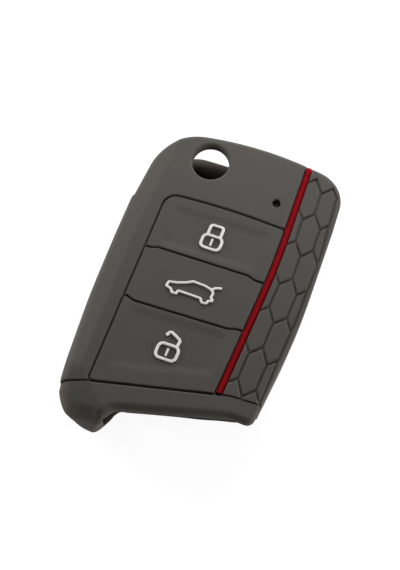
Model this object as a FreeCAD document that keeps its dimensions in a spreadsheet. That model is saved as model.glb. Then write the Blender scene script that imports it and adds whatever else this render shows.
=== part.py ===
import FreeCAD
import Part
import Sketcher
import math
import os

# Key fob cover: a soft one-piece sleeve for a folding key, lying on its back.
# Millimetres. X runs across the face, Y towards the end with the release hole, Z out of the front.

SIZES = {
    # Overall
    "overall_length": 77.6,
    "overall_width": 48.8,
    "overall_height": 16.0,
    "head_zone": 20.85,
    "button_zone": 42.45,
    "foot_zone": 14.3,
    "left_band": 8.9,
    "button_band": 29.5,
    "right_band": 10.4,
    "front_wall": 2.0,
    "back_wall": 1.6,
    "side_wall": 1.8,
    "front_edge_radius": 1.5,
    "left_edge_radius": 3.0,
    "back_edge_radius": 1.9,
    # Outline, as corners with radii
    "crown_rise": 3.4,
    "crown_radius": 62.0,
    "crown_swell": 1.14,
    "left_shoulder_inset": 0.2,
    "right_shoulder_inset": 0.7,
    "top_left_radius": 13.4,
    "top_right_radius": 7.0,
    "widest_y": 11.0,
    "flank_radius": 60.0,
    "flank_swell": 0.05,
    "foot_right_inset": 2.5,
    "foot_rise": 10.4,
    "foot_radius": 2.3,
    "lip_bend_x": 16.9,
    "lip_bend_rise": 10.15,
    "lip_bend_radius": 8.0,
    "mouth_corner_x": 6.6,
    "mouth_corner_rise": 3.75,
    "mouth_corner_radius": 2.4,
    "toe_tip_x": 8.9,
    "toe_tip_radius": 2.4,
    "heel_inset": 4.3,
    "heel_radius": 6.5,
    "left_flank_y": 13.0,
    # Openings for the key
    "step_y": 15.85,
    "head_lip": 0.3,
    "lip_height": 5.4,
    "blade_slot_height": 5.0,
    "blade_slot_end": 31.0,
    "head_slot_right": 2.0,
    "lip_depth": 3.0,
    "corner_depth": 4.6,
    "toe_depth": 33.3,
    "toe_cut_x": 10.2,
    "toe_cut_y": 35.25,
    "toe_cut_slope": 0.52,
    "side_gap_left": 11.0,
    "side_gap_height": 9.0,
    "mouth_left": 5.9,
    "mouth_right": 18.6,
    "mouth_back_cut": 3.2,
    "release_x": 9.0,
    "release_y": 29.85,
    "release_diameter": 9.2,
    "release_rim": 0.6,
    "lamp_x": 9.7,
    "lamp_y": 24.2,
    "lamp_diameter": 2.0,
    # Grooves
    "groove_width": 0.7,
    "groove_depth": 0.6,
    "bumper_left_y": 34.3,
    "bumper_bend_x": 15.1,
    "bumper_right_y": 23.9,
    "bumper_bend_radius": 16.0,
    # Stripe
    "stripe_width": 1.35,
    "stripe_depth": 1.0,
    "stripe_gap": 0.25,
    "stripe_sink": 0.35,
    "stripe_bottom_x": 12.8,
    "stripe_bottom_y": 24.75,
    "stripe_middle_x": 14.7,
    "stripe_middle_y": 7.85,
    "stripe_bend_radius": 190.0,
    # Button field and web
    "field_arch": 0.8,
    "field_arch_radius": 150.0,
    "field_left_bottom_x": 14.05,
    "field_corner_radius": 3.2,
    "field_foot_radius": 0.9,
    "upper_divider_y": 3.45,
    "lower_divider_y": 10.75,
    "divider_jog": 0.6,
    "divider_left_x": 12.3,
    "divider_right_x": 9.7,
    "divider_jog_length": 1.6,
    "divider_slope": 0.8,
    "web_thickness": 1.0,
    "web_clearance": 0.05,
    "dish_margin": 2.1,
    "dish_depth": 0.35,
    "dish_corner_radius": 1.0,
    # Honeycomb panel
    "panel_top_left_y": 34.9,
    "panel_top_x": 20.95,
    "panel_top_y": 33.4,
    "panel_margin": 0.85,
    "panel_corner_radius": 3.0,
    "cell_width": 4.55,
    "cell_side": 6.1,
    "cell_point": 2.95,
    "cell_skew": 0.27,
    "cell_lean": 1.6,
    "cell_x": 19.0,
    "cell_y": 18.75,
    # Button symbols
    "symbol_stroke": 0.65,
    "symbol_height": 0.35,
    "lock_x": 1.1,
    "lock_y": 8.8,
    "unlock_x": 0.7,
    "unlock_y": 20.05,
    "lock_width": 5.3,
    "lock_height": 4.1,
    "lock_corner_radius": 0.9,
    "shackle_width": 3.1,
    "shackle_rise": 2.95,
    "shackle_radius": 0.9,
    "shackle_swing": 26.0,
    "keyhole_length": 1.8,
    "car_x": 1.2,
    "car_y": 3.9,
    "car_length": 10.0,
    "car_height": 2.9,
    "wheel_length": 0.75,
    "tailgate_length": 2.3,
}

# Places and sizes that keep their share of the length, or of the width, when the whole cover changes

LENGTH_ZONES = ("head_zone", "button_zone", "foot_zone")
ALONG = (
    "crown_rise", "crown_swell", "widest_y", "foot_rise", "lip_bend_rise", "mouth_corner_rise",
    "left_flank_y", "step_y", "field_arch",
    "blade_slot_end", "toe_depth", "toe_cut_y", "mouth_back_cut", "release_y", "lamp_y", "bumper_left_y",
    "bumper_right_y", "stripe_bottom_y", "stripe_middle_y", "upper_divider_y", "lower_divider_y",
    "panel_top_left_y", "panel_top_y", "cell_side", "cell_point", "cell_y", "lock_y", "unlock_y",
    "lock_height", "shackle_rise", "keyhole_length", "car_y", "car_height",
)
WIDTH_ZONES = ("left_band", "button_band", "right_band")
ACROSS = (
    "left_shoulder_inset", "right_shoulder_inset", "top_left_radius", "top_right_radius", "flank_swell",
    "foot_right_inset", "lip_bend_x", "mouth_corner_x", "toe_tip_x", "heel_inset", "head_slot_right",
    "toe_cut_x", "side_gap_left", "mouth_left", "mouth_right", "release_x", "lamp_x", "bumper_bend_x",
    "stripe_bottom_x", "stripe_middle_x", "field_left_bottom_x", "divider_left_x", "divider_right_x",
    "panel_top_x", "cell_width", "cell_x", "lock_x", "unlock_x", "lock_width", "shackle_width", "car_x",
    "car_length",
)
BENDS_ALONG = ("flank_radius", "stripe_bend_radius")
BENDS_ACROSS = ("crown_radius", "field_arch_radius")
Z_AXIS = FreeCAD.Vector(0, 0, 1)


class Size:
    """A length that knows both its number and the sheet formula it comes from."""

    def __init__(self, number, formula):
        self.number = number
        self.formula = formula

    def __add__(self, other):
        other = as_size(other)
        return Size(self.number + other.number, f"({self.formula} + {other.formula})")

    def __sub__(self, other):
        other = as_size(other)
        return Size(self.number - other.number, f"({self.formula} - {other.formula})")

    def __mul__(self, other):
        other = as_size(other)
        return Size(self.number * other.number, f"({self.formula} * {other.formula})")

    def __truediv__(self, other):
        other = as_size(other)
        return Size(self.number / other.number, f"({self.formula} / {other.formula})")

    def __neg__(self):
        return Size(-self.number, f"(-1 * {self.formula})")


def as_size(value):
    if isinstance(value, Size):
        return value
    return Size(float(value), f"{float(value):.6f}")


def smaller(first, second):
    return Size(min(first.number, second.number), f"min({first.formula}; {second.formula})")


def cosine(angle):
    return Size(math.cos(math.radians(angle.number)), f"cos({angle.formula})")


def sine(angle):
    return Size(math.sin(math.radians(angle.number)), f"sin({angle.formula})")


def make_sheet(doc):
    sheet = doc.addObject("Spreadsheet::Sheet", "sizes")
    cells = {}
    for row, (name, value) in enumerate(SIZES.items(), start=1):
        sheet.set(f"A{row}", name)
        sheet.set(f"B{row}", str(value))
        sheet.setAlias(f"B{row}", name)
        cells[name] = Size(value, f"sizes.{name}")
    doc.recompute()
    return cells


def keep_share(cells, names, whole, zones):
    """Scales the named sizes with the whole, so that the zones along it always fill it."""
    share = cells[whole] / (cells[zones[0]] + cells[zones[1]] + cells[zones[2]])
    for name in names + zones:
        cells[name] = cells[name] * share
    return share


def keep_bend(cells, names, run, rise):
    """Scales the radii of shallow bends, so that each still starts and ends at its share of the run."""
    for name in names:
        cells[name] = cells[name] * run * run / rise


doc = FreeCAD.newDocument("key_fob_cover")
cell = make_sheet(doc)
stretch = keep_share(cell, ALONG, "overall_length", LENGTH_ZONES)
spread = keep_share(cell, ACROSS, "overall_width", WIDTH_ZONES)
keep_bend(cell, BENDS_ALONG, stretch, spread)
keep_bend(cell, BENDS_ACROSS, spread, stretch)


# Sketches

def point(x, y, radius=None):
    return as_size(x), as_size(y), radius


def flat(corner):
    return FreeCAD.Vector(corner[0].number, corner[1].number, 0)


def corner_arc(before, corner, after, radius):
    """Centre, end points and sense of the arc that rounds one corner."""
    to_before = (before - corner).normalize()
    to_after = (after - corner).normalize()
    half = to_before.getAngle(to_after) / 2
    start = corner + to_before * (radius / math.tan(half))
    end = corner + to_after * (radius / math.tan(half))
    centre = corner + (to_before + to_after).normalize() * (radius / math.sin(half))
    turns_left = (corner - before).cross(after - corner).z > 0
    return centre, start, end, turns_left


def draw(sketch, corners, closed=True):
    """Straight sides through the corners, each corner held to the sheet and rounded where it has a radius."""
    spots = [flat(corner) for corner in corners]
    count = len(corners)
    arcs = {}
    for index, (_, _, radius) in enumerate(corners):
        if radius is not None:
            arcs[index] = corner_arc(
                spots[index - 1], spots[index], spots[(index + 1) % count], radius.number
            )
    sides = count if closed else count - 1
    for index in range(sides):
        following = (index + 1) % count
        start = arcs[index][2] if index in arcs else spots[index]
        end = arcs[following][1] if following in arcs else spots[following]
        sketch.addGeometry(Part.LineSegment(start, end), False)
    for index, corner in enumerate(corners):
        side_in = (index - 1) % sides if closed or index else None
        side_out = index if closed or index < sides else None
        if index in arcs:
            hold_rounded_corner(sketch, corner, spots[index], arcs[index], side_in, side_out)
        elif side_in is None:
            hold_point(sketch, corner, side_out, 1)
        else:
            if side_out is not None:
                sketch.addConstraint(Sketcher.Constraint("Coincident", side_in, 2, side_out, 1))
            hold_point(sketch, corner, side_in, 2)


def hold_point(sketch, corner, geometry, place):
    for kind, size in (("DistanceX", corner[0]), ("DistanceY", corner[1])):
        number = sketch.addConstraint(
            Sketcher.Constraint(kind, -1, 1, geometry, place, size.number)
        )
        sketch.setExpression(f"Constraints[{number}]", size.formula)


def hold_rounded_corner(sketch, corner, spot, arc, side_in, side_out):
    centre, start, end, turns_left = arc
    first, last = (start, end) if turns_left else (end, start)
    angles = [math.atan2(p.y - centre.y, p.x - centre.x) for p in (first, last)]
    if angles[1] < angles[0]:
        angles[1] += 2 * math.pi
    circle = Part.Circle(centre, Z_AXIS, corner[2].number)
    bend = sketch.addGeometry(Part.ArcOfCircle(circle, *angles), False)
    mark = sketch.addGeometry(Part.Point(spot), True)
    hold_point(sketch, corner, mark, 1)
    sketch.addConstraint(Sketcher.Constraint("PointOnObject", mark, 1, side_in))
    sketch.addConstraint(Sketcher.Constraint("PointOnObject", mark, 1, side_out))
    entry, leave = (1, 2) if turns_left else (2, 1)
    sketch.addConstraint(Sketcher.Constraint("Tangent", side_in, 2, bend, entry))
    sketch.addConstraint(Sketcher.Constraint("Tangent", bend, leave, side_out, 1))
    number = sketch.addConstraint(Sketcher.Constraint("Radius", bend, corner[2].number))
    sketch.setExpression(f"Constraints[{number}]", corner[2].formula)


def loop(name, corners):
    sketch = doc.addObject("Sketcher::SketchObject", f"{name}_sketch")
    draw(sketch, corners)
    return sketch


def path(name, corners):
    sketch = doc.addObject("Sketcher::SketchObject", f"{name}_path")
    draw(sketch, corners, closed=False)
    return sketch


# Solids

def bind(item, **values):
    for name, size in values.items():
        item.setExpression(name.replace("_", "."), as_size(size).formula)
    return item


def grown(name, sketch, distance, join="Intersection"):
    """The outline of a closed sketch moved outwards by a distance."""
    item = doc.addObject("Part::Offset2D", f"{name}_offset")
    item.Source = sketch
    item.Mode = "Pipe"
    item.Join = join
    return bind(item, Value=distance)


def ring(name, sketch, width):
    """A closed band of the given width round the outside of a loop."""
    item = grown(name, sketch, width, join="Arc")
    item.Fill = True
    return item


def stroke(name, sketch, width):
    """A band of the given width along an open path, with round ends."""
    item = doc.addObject("Part::Offset2D", f"{name}_stroke")
    item.Source = sketch
    item.Mode = "Pipe"
    item.Join = "Arc"
    item.Fill = True
    return bind(item, Value=as_size(width) / 2)


def prism(name, base, bottom, height):
    item = doc.addObject("Part::Extrusion", f"{name}_prism")
    item.Base = base
    item.DirMode = "Custom"
    item.Dir = Z_AXIS
    item.Solid = True
    return bind(item, LengthFwd=height, Placement_Base_z=bottom)


def box(name, x, y, z):
    """A box between two sizes along each axis."""
    item = doc.addObject("Part::Box", f"{name}_box")
    return bind(
        item,
        Length=as_size(x[1]) - x[0],
        Width=as_size(y[1]) - y[0],
        Height=as_size(z[1]) - z[0],
        Placement_Base_x=x[0],
        Placement_Base_y=y[0],
        Placement_Base_z=z[0],
    )


def post(name, x, y, bottom, diameter, height):
    item = doc.addObject("Part::Cylinder", f"{name}_post")
    return bind(
        item,
        Radius=diameter / 2,
        Height=height,
        Placement_Base_x=x,
        Placement_Base_y=y,
        Placement_Base_z=bottom,
    )


def cut(name, base, tool):
    item = doc.addObject("Part::Cut", name)
    item.Base = base
    item.Tool = tool
    return item


def fused(name, items):
    item = doc.addObject("Part::MultiFuse", name)
    item.Shapes = items
    item.Refine = True
    return item


def overlap(name, items):
    item = doc.addObject("Part::MultiCommon", name)
    item.Shapes = items
    return item


def rounded_edges(name, base, height, radius, left_radius):
    """Every edge of the base that lies flat at one height, rounded; the left flank has its own radius."""
    doc.recompute()
    left_x = (cell["heel_inset"] - cell["overall_width"] / 2).number
    item = doc.addObject("Part::Fillet", name)
    item.Base = base
    item.Edges = [
        (number, *(left_radius.number if end.X < left_x else radius.number for end in edge.Vertexes))
        for number, edge in enumerate(base.Shape.Edges, start=1)
        if abs(edge.BoundBox.ZMin - height.number) < 1e-4
        and abs(edge.BoundBox.ZMax - height.number) < 1e-4
    ]
    return item


# Levels

top = cell["overall_height"]
ceiling = top - cell["front_wall"]
floor = cell["back_wall"]
above = cell["overall_height"] * 0.2
half_length = cell["overall_length"] / 2
half_width = cell["overall_width"] / 2
half_groove = cell["groove_width"] / 2
field_top_y = half_length - cell["head_zone"]
field_left_x = half_width - cell["left_band"]
stripe_top_x = half_width - cell["right_band"]
bumper_bend_y = half_length - cell["foot_zone"]


# Outline of the sleeve

def sleeve_outline():
    shoulder_y = half_length - cell["crown_rise"]
    return [
        point(0, half_length + cell["crown_swell"], cell["crown_radius"]),
        point(cell["left_shoulder_inset"] - half_width, shoulder_y, cell["top_left_radius"]),
        point(-half_width, cell["left_flank_y"], cell["flank_radius"]),
        point(cell["heel_inset"] - half_width, -half_length, cell["heel_radius"]),
        point(-cell["toe_tip_x"], -half_length, cell["toe_tip_radius"]),
        point(-cell["mouth_corner_x"], cell["mouth_corner_rise"] - half_length, cell["mouth_corner_radius"]),
        point(cell["lip_bend_x"], cell["lip_bend_rise"] - half_length, cell["lip_bend_radius"]),
        point(half_width - cell["foot_right_inset"], cell["foot_rise"] - half_length, cell["foot_radius"]),
        point(half_width + cell["flank_swell"], cell["widest_y"], cell["flank_radius"]),
        point(half_width - cell["right_shoulder_inset"], shoulder_y, cell["top_right_radius"]),
    ]


outline = loop("outline", sleeve_outline())
raw_form = prism("outer", outline, 0, top)
edge_limit = smaller(cell["toe_tip_radius"], cell["foot_radius"]) * 0.9
front_radius = smaller(cell["front_edge_radius"], edge_limit)
back_radius = smaller(cell["back_edge_radius"], edge_limit)
left_radius = smaller(cell["left_edge_radius"], cell["heel_radius"] * 0.8)
front_rounded = rounded_edges("front_rounded", raw_form, top, front_radius, left_radius)
outer_form = rounded_edges("outer_form", front_rounded, as_size(0), back_radius, back_radius)

# Cavity and openings

outside = half_width * 1.3
cavity = overlap("cavity", [
    prism("cavity", grown("cavity", outline, -cell["side_wall"]), floor, ceiling - floor),
    box("key_space", (-outside, outside), (-cell["toe_depth"], half_length), (0, top)),
])
blade_slot = box(
    "blade_slot",
    (-outside, -half_width * 0.65),
    (-cell["blade_slot_end"], cell["step_y"]),
    (cell["lip_height"], cell["lip_height"] + cell["blade_slot_height"]),
)
head_slot = box(
    "head_slot",
    (-outside, -cell["head_slot_right"]),
    (cell["step_y"], half_length * 1.2),
    (cell["lip_height"], ceiling - cell["head_lip"]),
)


def lip_y(x):
    """Height of the mouth's straight lip at a place across it."""
    rise = cell["lip_bend_rise"] - cell["mouth_corner_rise"]
    run = cell["lip_bend_x"] + cell["mouth_corner_x"]
    return (x + cell["mouth_corner_x"]) * rise / run + cell["mouth_corner_rise"] - half_length


def mouth_outline():
    left, right = -cell["mouth_left"], cell["mouth_right"]
    reach, below = cell["mouth_back_cut"], cell["side_wall"] * 3
    return [
        point(left, lip_y(left) - below),
        point(right, lip_y(right) - below),
        point(right, lip_y(right) + reach),
        point(left, lip_y(left) + reach),
    ]


def back_cut_outline():
    """The back ends short of the lip, along a slant, and the toe's inner side leans away from the mouth."""
    bend_x = cell["lip_bend_x"]
    upper_y = lip_y(-cell["mouth_corner_x"]) + cell["mouth_back_cut"]
    lower_y = -half_length * 1.1
    return [
        point((lower_y + cell["toe_cut_y"]) * cell["toe_cut_slope"] - cell["toe_cut_x"], lower_y),
        point(outside, lower_y),
        point(outside, lip_y(bend_x) + cell["mouth_back_cut"]),
        point(bend_x, lip_y(bend_x) + cell["mouth_back_cut"], cell["lip_bend_radius"]),
        point((upper_y + cell["toe_cut_y"]) * cell["toe_cut_slope"] - cell["toe_cut_x"], upper_y,
              cell["foot_radius"]),
    ]


mouth_top = top - cell["lip_depth"]
mouth = prism("mouth", loop("mouth", mouth_outline()), -above, mouth_top + above)
back_cut = prism("back_cut", loop("back_cut", back_cut_outline()), -above, top - cell["corner_depth"] + above)
side_gap = box(
    "side_gap",
    (-cell["side_gap_left"], -cell["mouth_left"] * 0.8),
    (cell["toe_tip_radius"] * 0.6 - half_length, -cell["toe_depth"]),
    (mouth_top - cell["side_gap_height"], mouth_top),
)

release_hole = post(
    "release_hole", -cell["release_x"], cell["release_y"], ceiling - 1, cell["release_diameter"], above * 2
)
release_rim = doc.addObject("Part::Cone", "release_rim_cone")
bind(
    release_rim,
    Radius1=cell["release_diameter"] / 2,
    Radius2=cell["release_diameter"] / 2 + cell["release_rim"],
    Height=cell["release_rim"],
    Placement_Base_x=-cell["release_x"],
    Placement_Base_y=cell["release_y"],
    Placement_Base_z=top - cell["release_rim"],
)
lamp_hole = post("lamp_hole", cell["lamp_x"], cell["lamp_y"], ceiling - 1, cell["lamp_diameter"], above * 2)

# Groove above the bumper, across the front and round both flanks

bumper_path = path("bumper", [
    point(-outside, -cell["bumper_left_y"] - (outside - half_width) * 0.25),
    point(cell["bumper_bend_x"], -bumper_bend_y, cell["bumper_bend_radius"]),
    point(outside, -cell["bumper_right_y"]),
])
groove_inner = grown("groove_core", outline, -cell["groove_depth"])
groove_core = prism("groove_core", groove_inner, 0, top - cell["groove_depth"])
bumper_groove = cut(
    "bumper_groove",
    prism("bumper", stroke("bumper", bumper_path, cell["groove_width"]), cell["lip_height"], top),
    groove_core,
)

# Stripe channel

stripe_half = cell["stripe_width"] / 2
stripe_end_y = half_length + above


def stripe_outline(spread):
    half = stripe_half + spread
    rise = half * 0.24
    bottom_x, bottom_y = cell["stripe_bottom_x"], -cell["stripe_bottom_y"]
    return [
        point(bottom_x - half, bottom_y - rise - spread),
        point(bottom_x + half, bottom_y + rise - spread),
        point(cell["stripe_middle_x"] + half, cell["stripe_middle_y"], cell["stripe_bend_radius"]),
        point(stripe_top_x + half, stripe_end_y),
        point(stripe_top_x - half, stripe_end_y),
        point(cell["stripe_middle_x"] - half, cell["stripe_middle_y"], cell["stripe_bend_radius"]),
    ]


stripe_floor = top - cell["stripe_depth"]
stripe_channel = prism(
    "stripe_channel", loop("stripe_channel", stripe_outline(cell["stripe_gap"])), stripe_floor, above * 2
)

# Button field

field_right = stripe_half + half_groove


def bumper_y(x):
    """Height of the bumper groove's straight run."""
    rise = cell["bumper_left_y"] + (outside - half_width) * 0.25 - bumper_bend_y
    return (x - cell["bumper_bend_x"]) * rise / (outside + cell["bumper_bend_x"]) - bumper_bend_y


def field_outline():
    bottom_x = cell["stripe_bottom_x"] - field_right
    along = (field_top_y - cell["stripe_middle_y"]) / (stripe_end_y - cell["stripe_middle_y"])
    top_x = cell["stripe_middle_x"] + (stripe_top_x - cell["stripe_middle_x"]) * along - field_right
    left_x = -cell["field_left_bottom_x"]
    return [
        point(left_x, bumper_y(left_x), cell["field_foot_radius"]),
        point(bottom_x, bumper_y(bottom_x)),
        point(cell["stripe_middle_x"] - field_right, cell["stripe_middle_y"], cell["stripe_bend_radius"]),
        point(top_x, field_top_y),
        point(0, field_top_y + cell["field_arch"], cell["field_arch_radius"]),
        point(-field_left_x, field_top_y, cell["field_corner_radius"]),
    ]


field = loop("field", field_outline())
window = prism("window", grown("window", field, half_groove), ceiling - 1, above * 2)

# Honeycomb panel: a shallow recess with raised cells

panel_left = stripe_half + cell["stripe_gap"]


def panel_outline():
    """The panel ends at the top in the zigzag of its uppermost cells."""
    right = half_width - cell["panel_margin"]
    bottom_x = cell["stripe_bottom_x"] + panel_left
    foot_x = right - cell["foot_right_inset"] * 0.82
    notch_y = (cell["panel_top_y"] + cell["panel_top_left_y"]) / 2 - cell["cell_point"] * 1.1
    return [
        point(bottom_x, bumper_y(bottom_x) + half_groove),
        point(foot_x, -cell["bumper_right_y"] + half_groove, cell["foot_radius"] * 0.4),
        point(right, cell["widest_y"], cell["flank_radius"]),
        point(right - cell["right_shoulder_inset"], cell["panel_top_y"] - cell["cell_point"] * 1.4,
              cell["panel_corner_radius"]),
        point(cell["panel_top_x"], cell["panel_top_y"]),
        point(cell["panel_top_x"] - cell["cell_width"] / 2, notch_y),
        point(cell["panel_top_x"] - cell["cell_width"], cell["panel_top_left_y"]),
        point(stripe_top_x + panel_left, cell["panel_top_left_y"] - cell["cell_point"] * 0.75),
        point(cell["stripe_middle_x"] + panel_left, cell["stripe_middle_y"], cell["stripe_bend_radius"]),
    ]


panel_sketch = loop("panel", panel_outline())
panel_floor = top - cell["groove_depth"]
panel_recess = prism("panel", panel_sketch, panel_floor, above * 2)
panel_inner = grown("panel_core", panel_sketch, -half_groove)
panel_core = prism("panel_core", panel_inner, panel_floor, cell["groove_depth"])


def cell_corners(column, row):
    """One raised cell of the leaning honeycomb, smaller than its pitch by the groove."""
    pitch_y = (cell["cell_side"] + cell["cell_point"]) * 2
    lean = cell["cell_lean"] / cell["overall_length"] * 2
    centre_y = cell["cell_y"] + pitch_y * row - cell["cell_width"] * cell["cell_skew"] * column
    centre_x = cell["cell_x"] + cell["cell_width"] * column + lean * pitch_y * row
    half = cell["cell_width"] / 2 - half_groove * 0.8
    side = cell["cell_side"] / 2 - half_groove * 0.3
    tip = side + cell["cell_point"] - half_groove * 0.9
    skew = half * cell["cell_skew"]
    return [
        point(centre_x, centre_y - tip),
        point(centre_x + half, centre_y - side - skew),
        point(centre_x + half, centre_y + side - skew),
        point(centre_x, centre_y + tip),
        point(centre_x - half, centre_y + side + skew),
        point(centre_x - half, centre_y - side + skew),
    ]


def make_cells():
    cells = []
    for half_step in (0, 0.5):
        for column in (-1, 0, 1):
            for row in (-3, -2, -1, 0):
                name = f"cell_{len(cells)}"
                corners = cell_corners(column + half_step, row + half_step)
                cells.append(prism(name, loop(name, corners), panel_floor, cell["groove_depth"]))
    raised = doc.addObject("Part::Compound", "honeycomb")
    raised.Links = cells
    return overlap("panel_cells", [panel_core, raised])


# Sleeve

openings = fused("openings", [
    cavity, blade_slot, head_slot, mouth, back_cut, side_gap, release_hole, release_rim, lamp_hole,
    bumper_groove, stripe_channel, window, panel_recess,
])
sleeve_shell = cut("sleeve_shell", outer_form, openings)
sleeve = fused("sleeve", [sleeve_shell, make_cells()])

# Buttons

field_core = prism("field_core", grown("field_core", field, -half_groove), ceiling, cell["front_wall"])
field_edge = field_left_x + cell["stripe_gap"] * 4


def divider(y, drop, slope):
    """Centre line of a groove between two buttons, from left to right."""
    left, right = -cell["divider_left_x"], cell["divider_right_x"]
    jog = cell["divider_jog_length"]
    return [
        point(-field_edge, y - drop - slope),
        point(left - jog, y - drop - slope),
        point(left, y - slope),
        point(right, y + slope),
        point(right + jog, y - drop + slope),
        point(field_edge, y - drop + slope),
    ]


def bay(name, lower, upper):
    corners = lower + upper[::-1]
    inner = grown(f"{name}_bay", loop(f"{name}_bay", corners), -half_groove)
    return overlap(f"{name}_block", [field_core, prism(f"{name}_bay", inner, ceiling, cell["front_wall"])])


upper_divider = divider(cell["upper_divider_y"], cell["divider_jog"], cell["divider_slope"] * 0.15)
lower_divider = divider(-cell["lower_divider_y"], -cell["divider_jog"], cell["divider_slope"] * 0.5)
beyond_top = [point(-field_edge, half_length), point(field_edge, half_length)]
beyond_foot = [point(-field_edge, -half_length), point(field_edge, -half_length)]

lock_block = bay("lock", upper_divider, beyond_top)
trunk_pad = bay("trunk", lower_divider, upper_divider)
unlock_block = bay("unlock", beyond_foot, lower_divider)


def dish(name, left, right, lower_left, lower_right, upper):
    radius = cell["dish_corner_radius"]
    sketch = loop(f"{name}_dish", [
        point(left, lower_left, radius),
        point(right, lower_right, radius),
        point(right, upper, radius),
        point(left, upper, radius),
    ])
    return prism(f"{name}_dish", sketch, top - cell["dish_depth"], above)


dish_left = -cell["field_left_bottom_x"] + cell["dish_margin"]
dish_right = cell["stripe_bottom_x"] - field_right - cell["dish_margin"] * 0.6
lock_pad = cut("lock_pad", lock_block, dish(
    "lock", dish_left, dish_right,
    cell["upper_divider_y"] + cell["dish_margin"] * 0.6,
    cell["upper_divider_y"] + cell["dish_margin"] * 0.9,
    field_top_y - cell["dish_margin"] * 1.3,
))
unlock_pad = cut("unlock_pad", unlock_block, dish(
    "unlock", dish_left + cell["dish_margin"] * 0.5, dish_right - cell["dish_margin"] * 0.2,
    bumper_y(dish_left) + cell["dish_margin"] * 2,
    bumper_y(dish_right) + cell["dish_margin"] * 2,
    -cell["lower_divider_y"] - cell["dish_margin"],
))

# Web that carries the buttons

web_sheet = prism("web_sheet", grown("web_sheet", field, half_groove), ceiling, cell["web_thickness"])


def web_opening(name, lower, upper):
    sketch = loop(f"{name}_opening", lower + upper[::-1])
    inner = grown(f"{name}_opening", sketch, cell["web_clearance"] - half_groove)
    return prism(f"{name}_opening", inner, ceiling, cell["web_thickness"])


web_inner = grown("web_field", field, cell["web_clearance"] - half_groove)
web_field = prism("web_field", web_inner, ceiling, cell["web_thickness"])
web_openings = doc.addObject("Part::Compound", "web_openings")
web_openings.Links = [
    web_opening("lock", upper_divider, beyond_top),
    web_opening("trunk", lower_divider, upper_divider),
    web_opening("unlock", beyond_foot, lower_divider),
]
button_web = cut("button_web", web_sheet, overlap("web_holes", [web_field, web_openings]))

# Stripe

red_stripe = overlap("red_stripe", [
    prism("stripe", loop("stripe", stripe_outline(as_size(0))), stripe_floor,
          cell["stripe_depth"] - cell["stripe_sink"]),
    outer_form,
])

# Button symbols

line = cell["symbol_stroke"]
dish_top = top - cell["dish_depth"]


def raise_symbol(name, shapes, level):
    return fused(name, [prism(f"{name}_{number}", shape, level, cell["symbol_height"])
                        for number, shape in enumerate(shapes)])


def lock_body(name, x, y):
    half_w = cell["lock_width"] / 2 - line
    half_h = cell["lock_height"] / 2 - line
    radius = cell["lock_corner_radius"]
    return ring(f"{name}_body", loop(f"{name}_body", [
        point(x - half_w, y - half_h, radius),
        point(x + half_w, y - half_h, radius),
        point(x + half_w, y + half_h, radius),
        point(x - half_w, y + half_h, radius),
    ]), line)


def shackle(name, x, y, swing=None):
    """The bow above a lock's body; swung open, it leaves the body at its right foot."""
    width, rise, radius = cell["shackle_width"], cell["shackle_rise"], cell["shackle_radius"]
    foot_x = x - width / 2
    foot_y = y + (cell["lock_height"] - line) / 2
    if swing is None:
        corners = [
            point(foot_x, foot_y),
            point(foot_x, foot_y + rise, radius),
            point(foot_x + width, foot_y + rise, radius),
            point(foot_x + width, foot_y),
        ]
    else:
        across, up = cosine(swing), sine(swing)
        free_y, free_leg = foot_y + rise * 0.68, rise * 0.47
        crest_x, crest_y = foot_x + free_leg * up, free_y + free_leg * across
        corners = [
            point(foot_x, free_y),
            point(crest_x, crest_y, radius),
            point(crest_x + width * across, crest_y - width * up, radius),
            point(foot_x + width, foot_y),
        ]
    return stroke(f"{name}_shackle", path(f"{name}_shackle", corners), line)


def pill(name, x, y, half_w, half_h):
    """A short straight stroke with round ends."""
    radius = smaller(half_w, half_h) * 0.9
    return loop(name, [
        point(x - half_w, y - half_h, radius),
        point(x + half_w, y - half_h, radius),
        point(x + half_w, y + half_h, radius),
        point(x - half_w, y + half_h, radius),
    ])


def keyhole(name, x, y, level):
    bar = pill(name, x, y, line * 0.36, cell["keyhole_length"] / 2)
    return prism(name, bar, level, cell["symbol_height"])


def car_symbol(x, y):
    length, height = cell["car_length"], cell["car_height"]
    body = loop("car_body", [
        point(x - length * 0.53, y - height * 0.41),
        point(x + length * 0.49, y - height * 0.41),
        point(x + length * 0.44, y - height * 0.2),
        point(x + length * 0.455, y + height * 0.14),
        point(x + length * 0.395, y + height * 0.345),
        point(x + length * 0.23, y + height * 0.5),
        point(x - length * 0.03, y + height * 0.56),
        point(x - length * 0.17, y + height * 0.29),
        point(x - length * 0.36, y + height * 0.08),
        point(x - length * 0.515, y - height * 0.07),
    ])
    hinge_x, hinge_y = x + length * 0.43, y + height * 0.46
    reach = cell["tailgate_length"]
    tailgate = path("tailgate", [
        point(hinge_x, hinge_y),
        point(hinge_x + reach * 0.27, hinge_y + reach * 0.27),
        point(hinge_x + reach * 0.87, hinge_y + reach * 0.44),
    ])
    shapes = [ring("car_body", body, line), stroke("tailgate", tailgate, line)]
    for name, place in (("front_wheel", -0.355), ("rear_wheel", 0.36)):
        wheel_y = y - height * 0.41 - line * 1.2
        shapes.append(pill(name, x + length * place, wheel_y, cell["wheel_length"], line * 0.8))
    return raise_symbol("trunk_icon", shapes, top)


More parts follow.
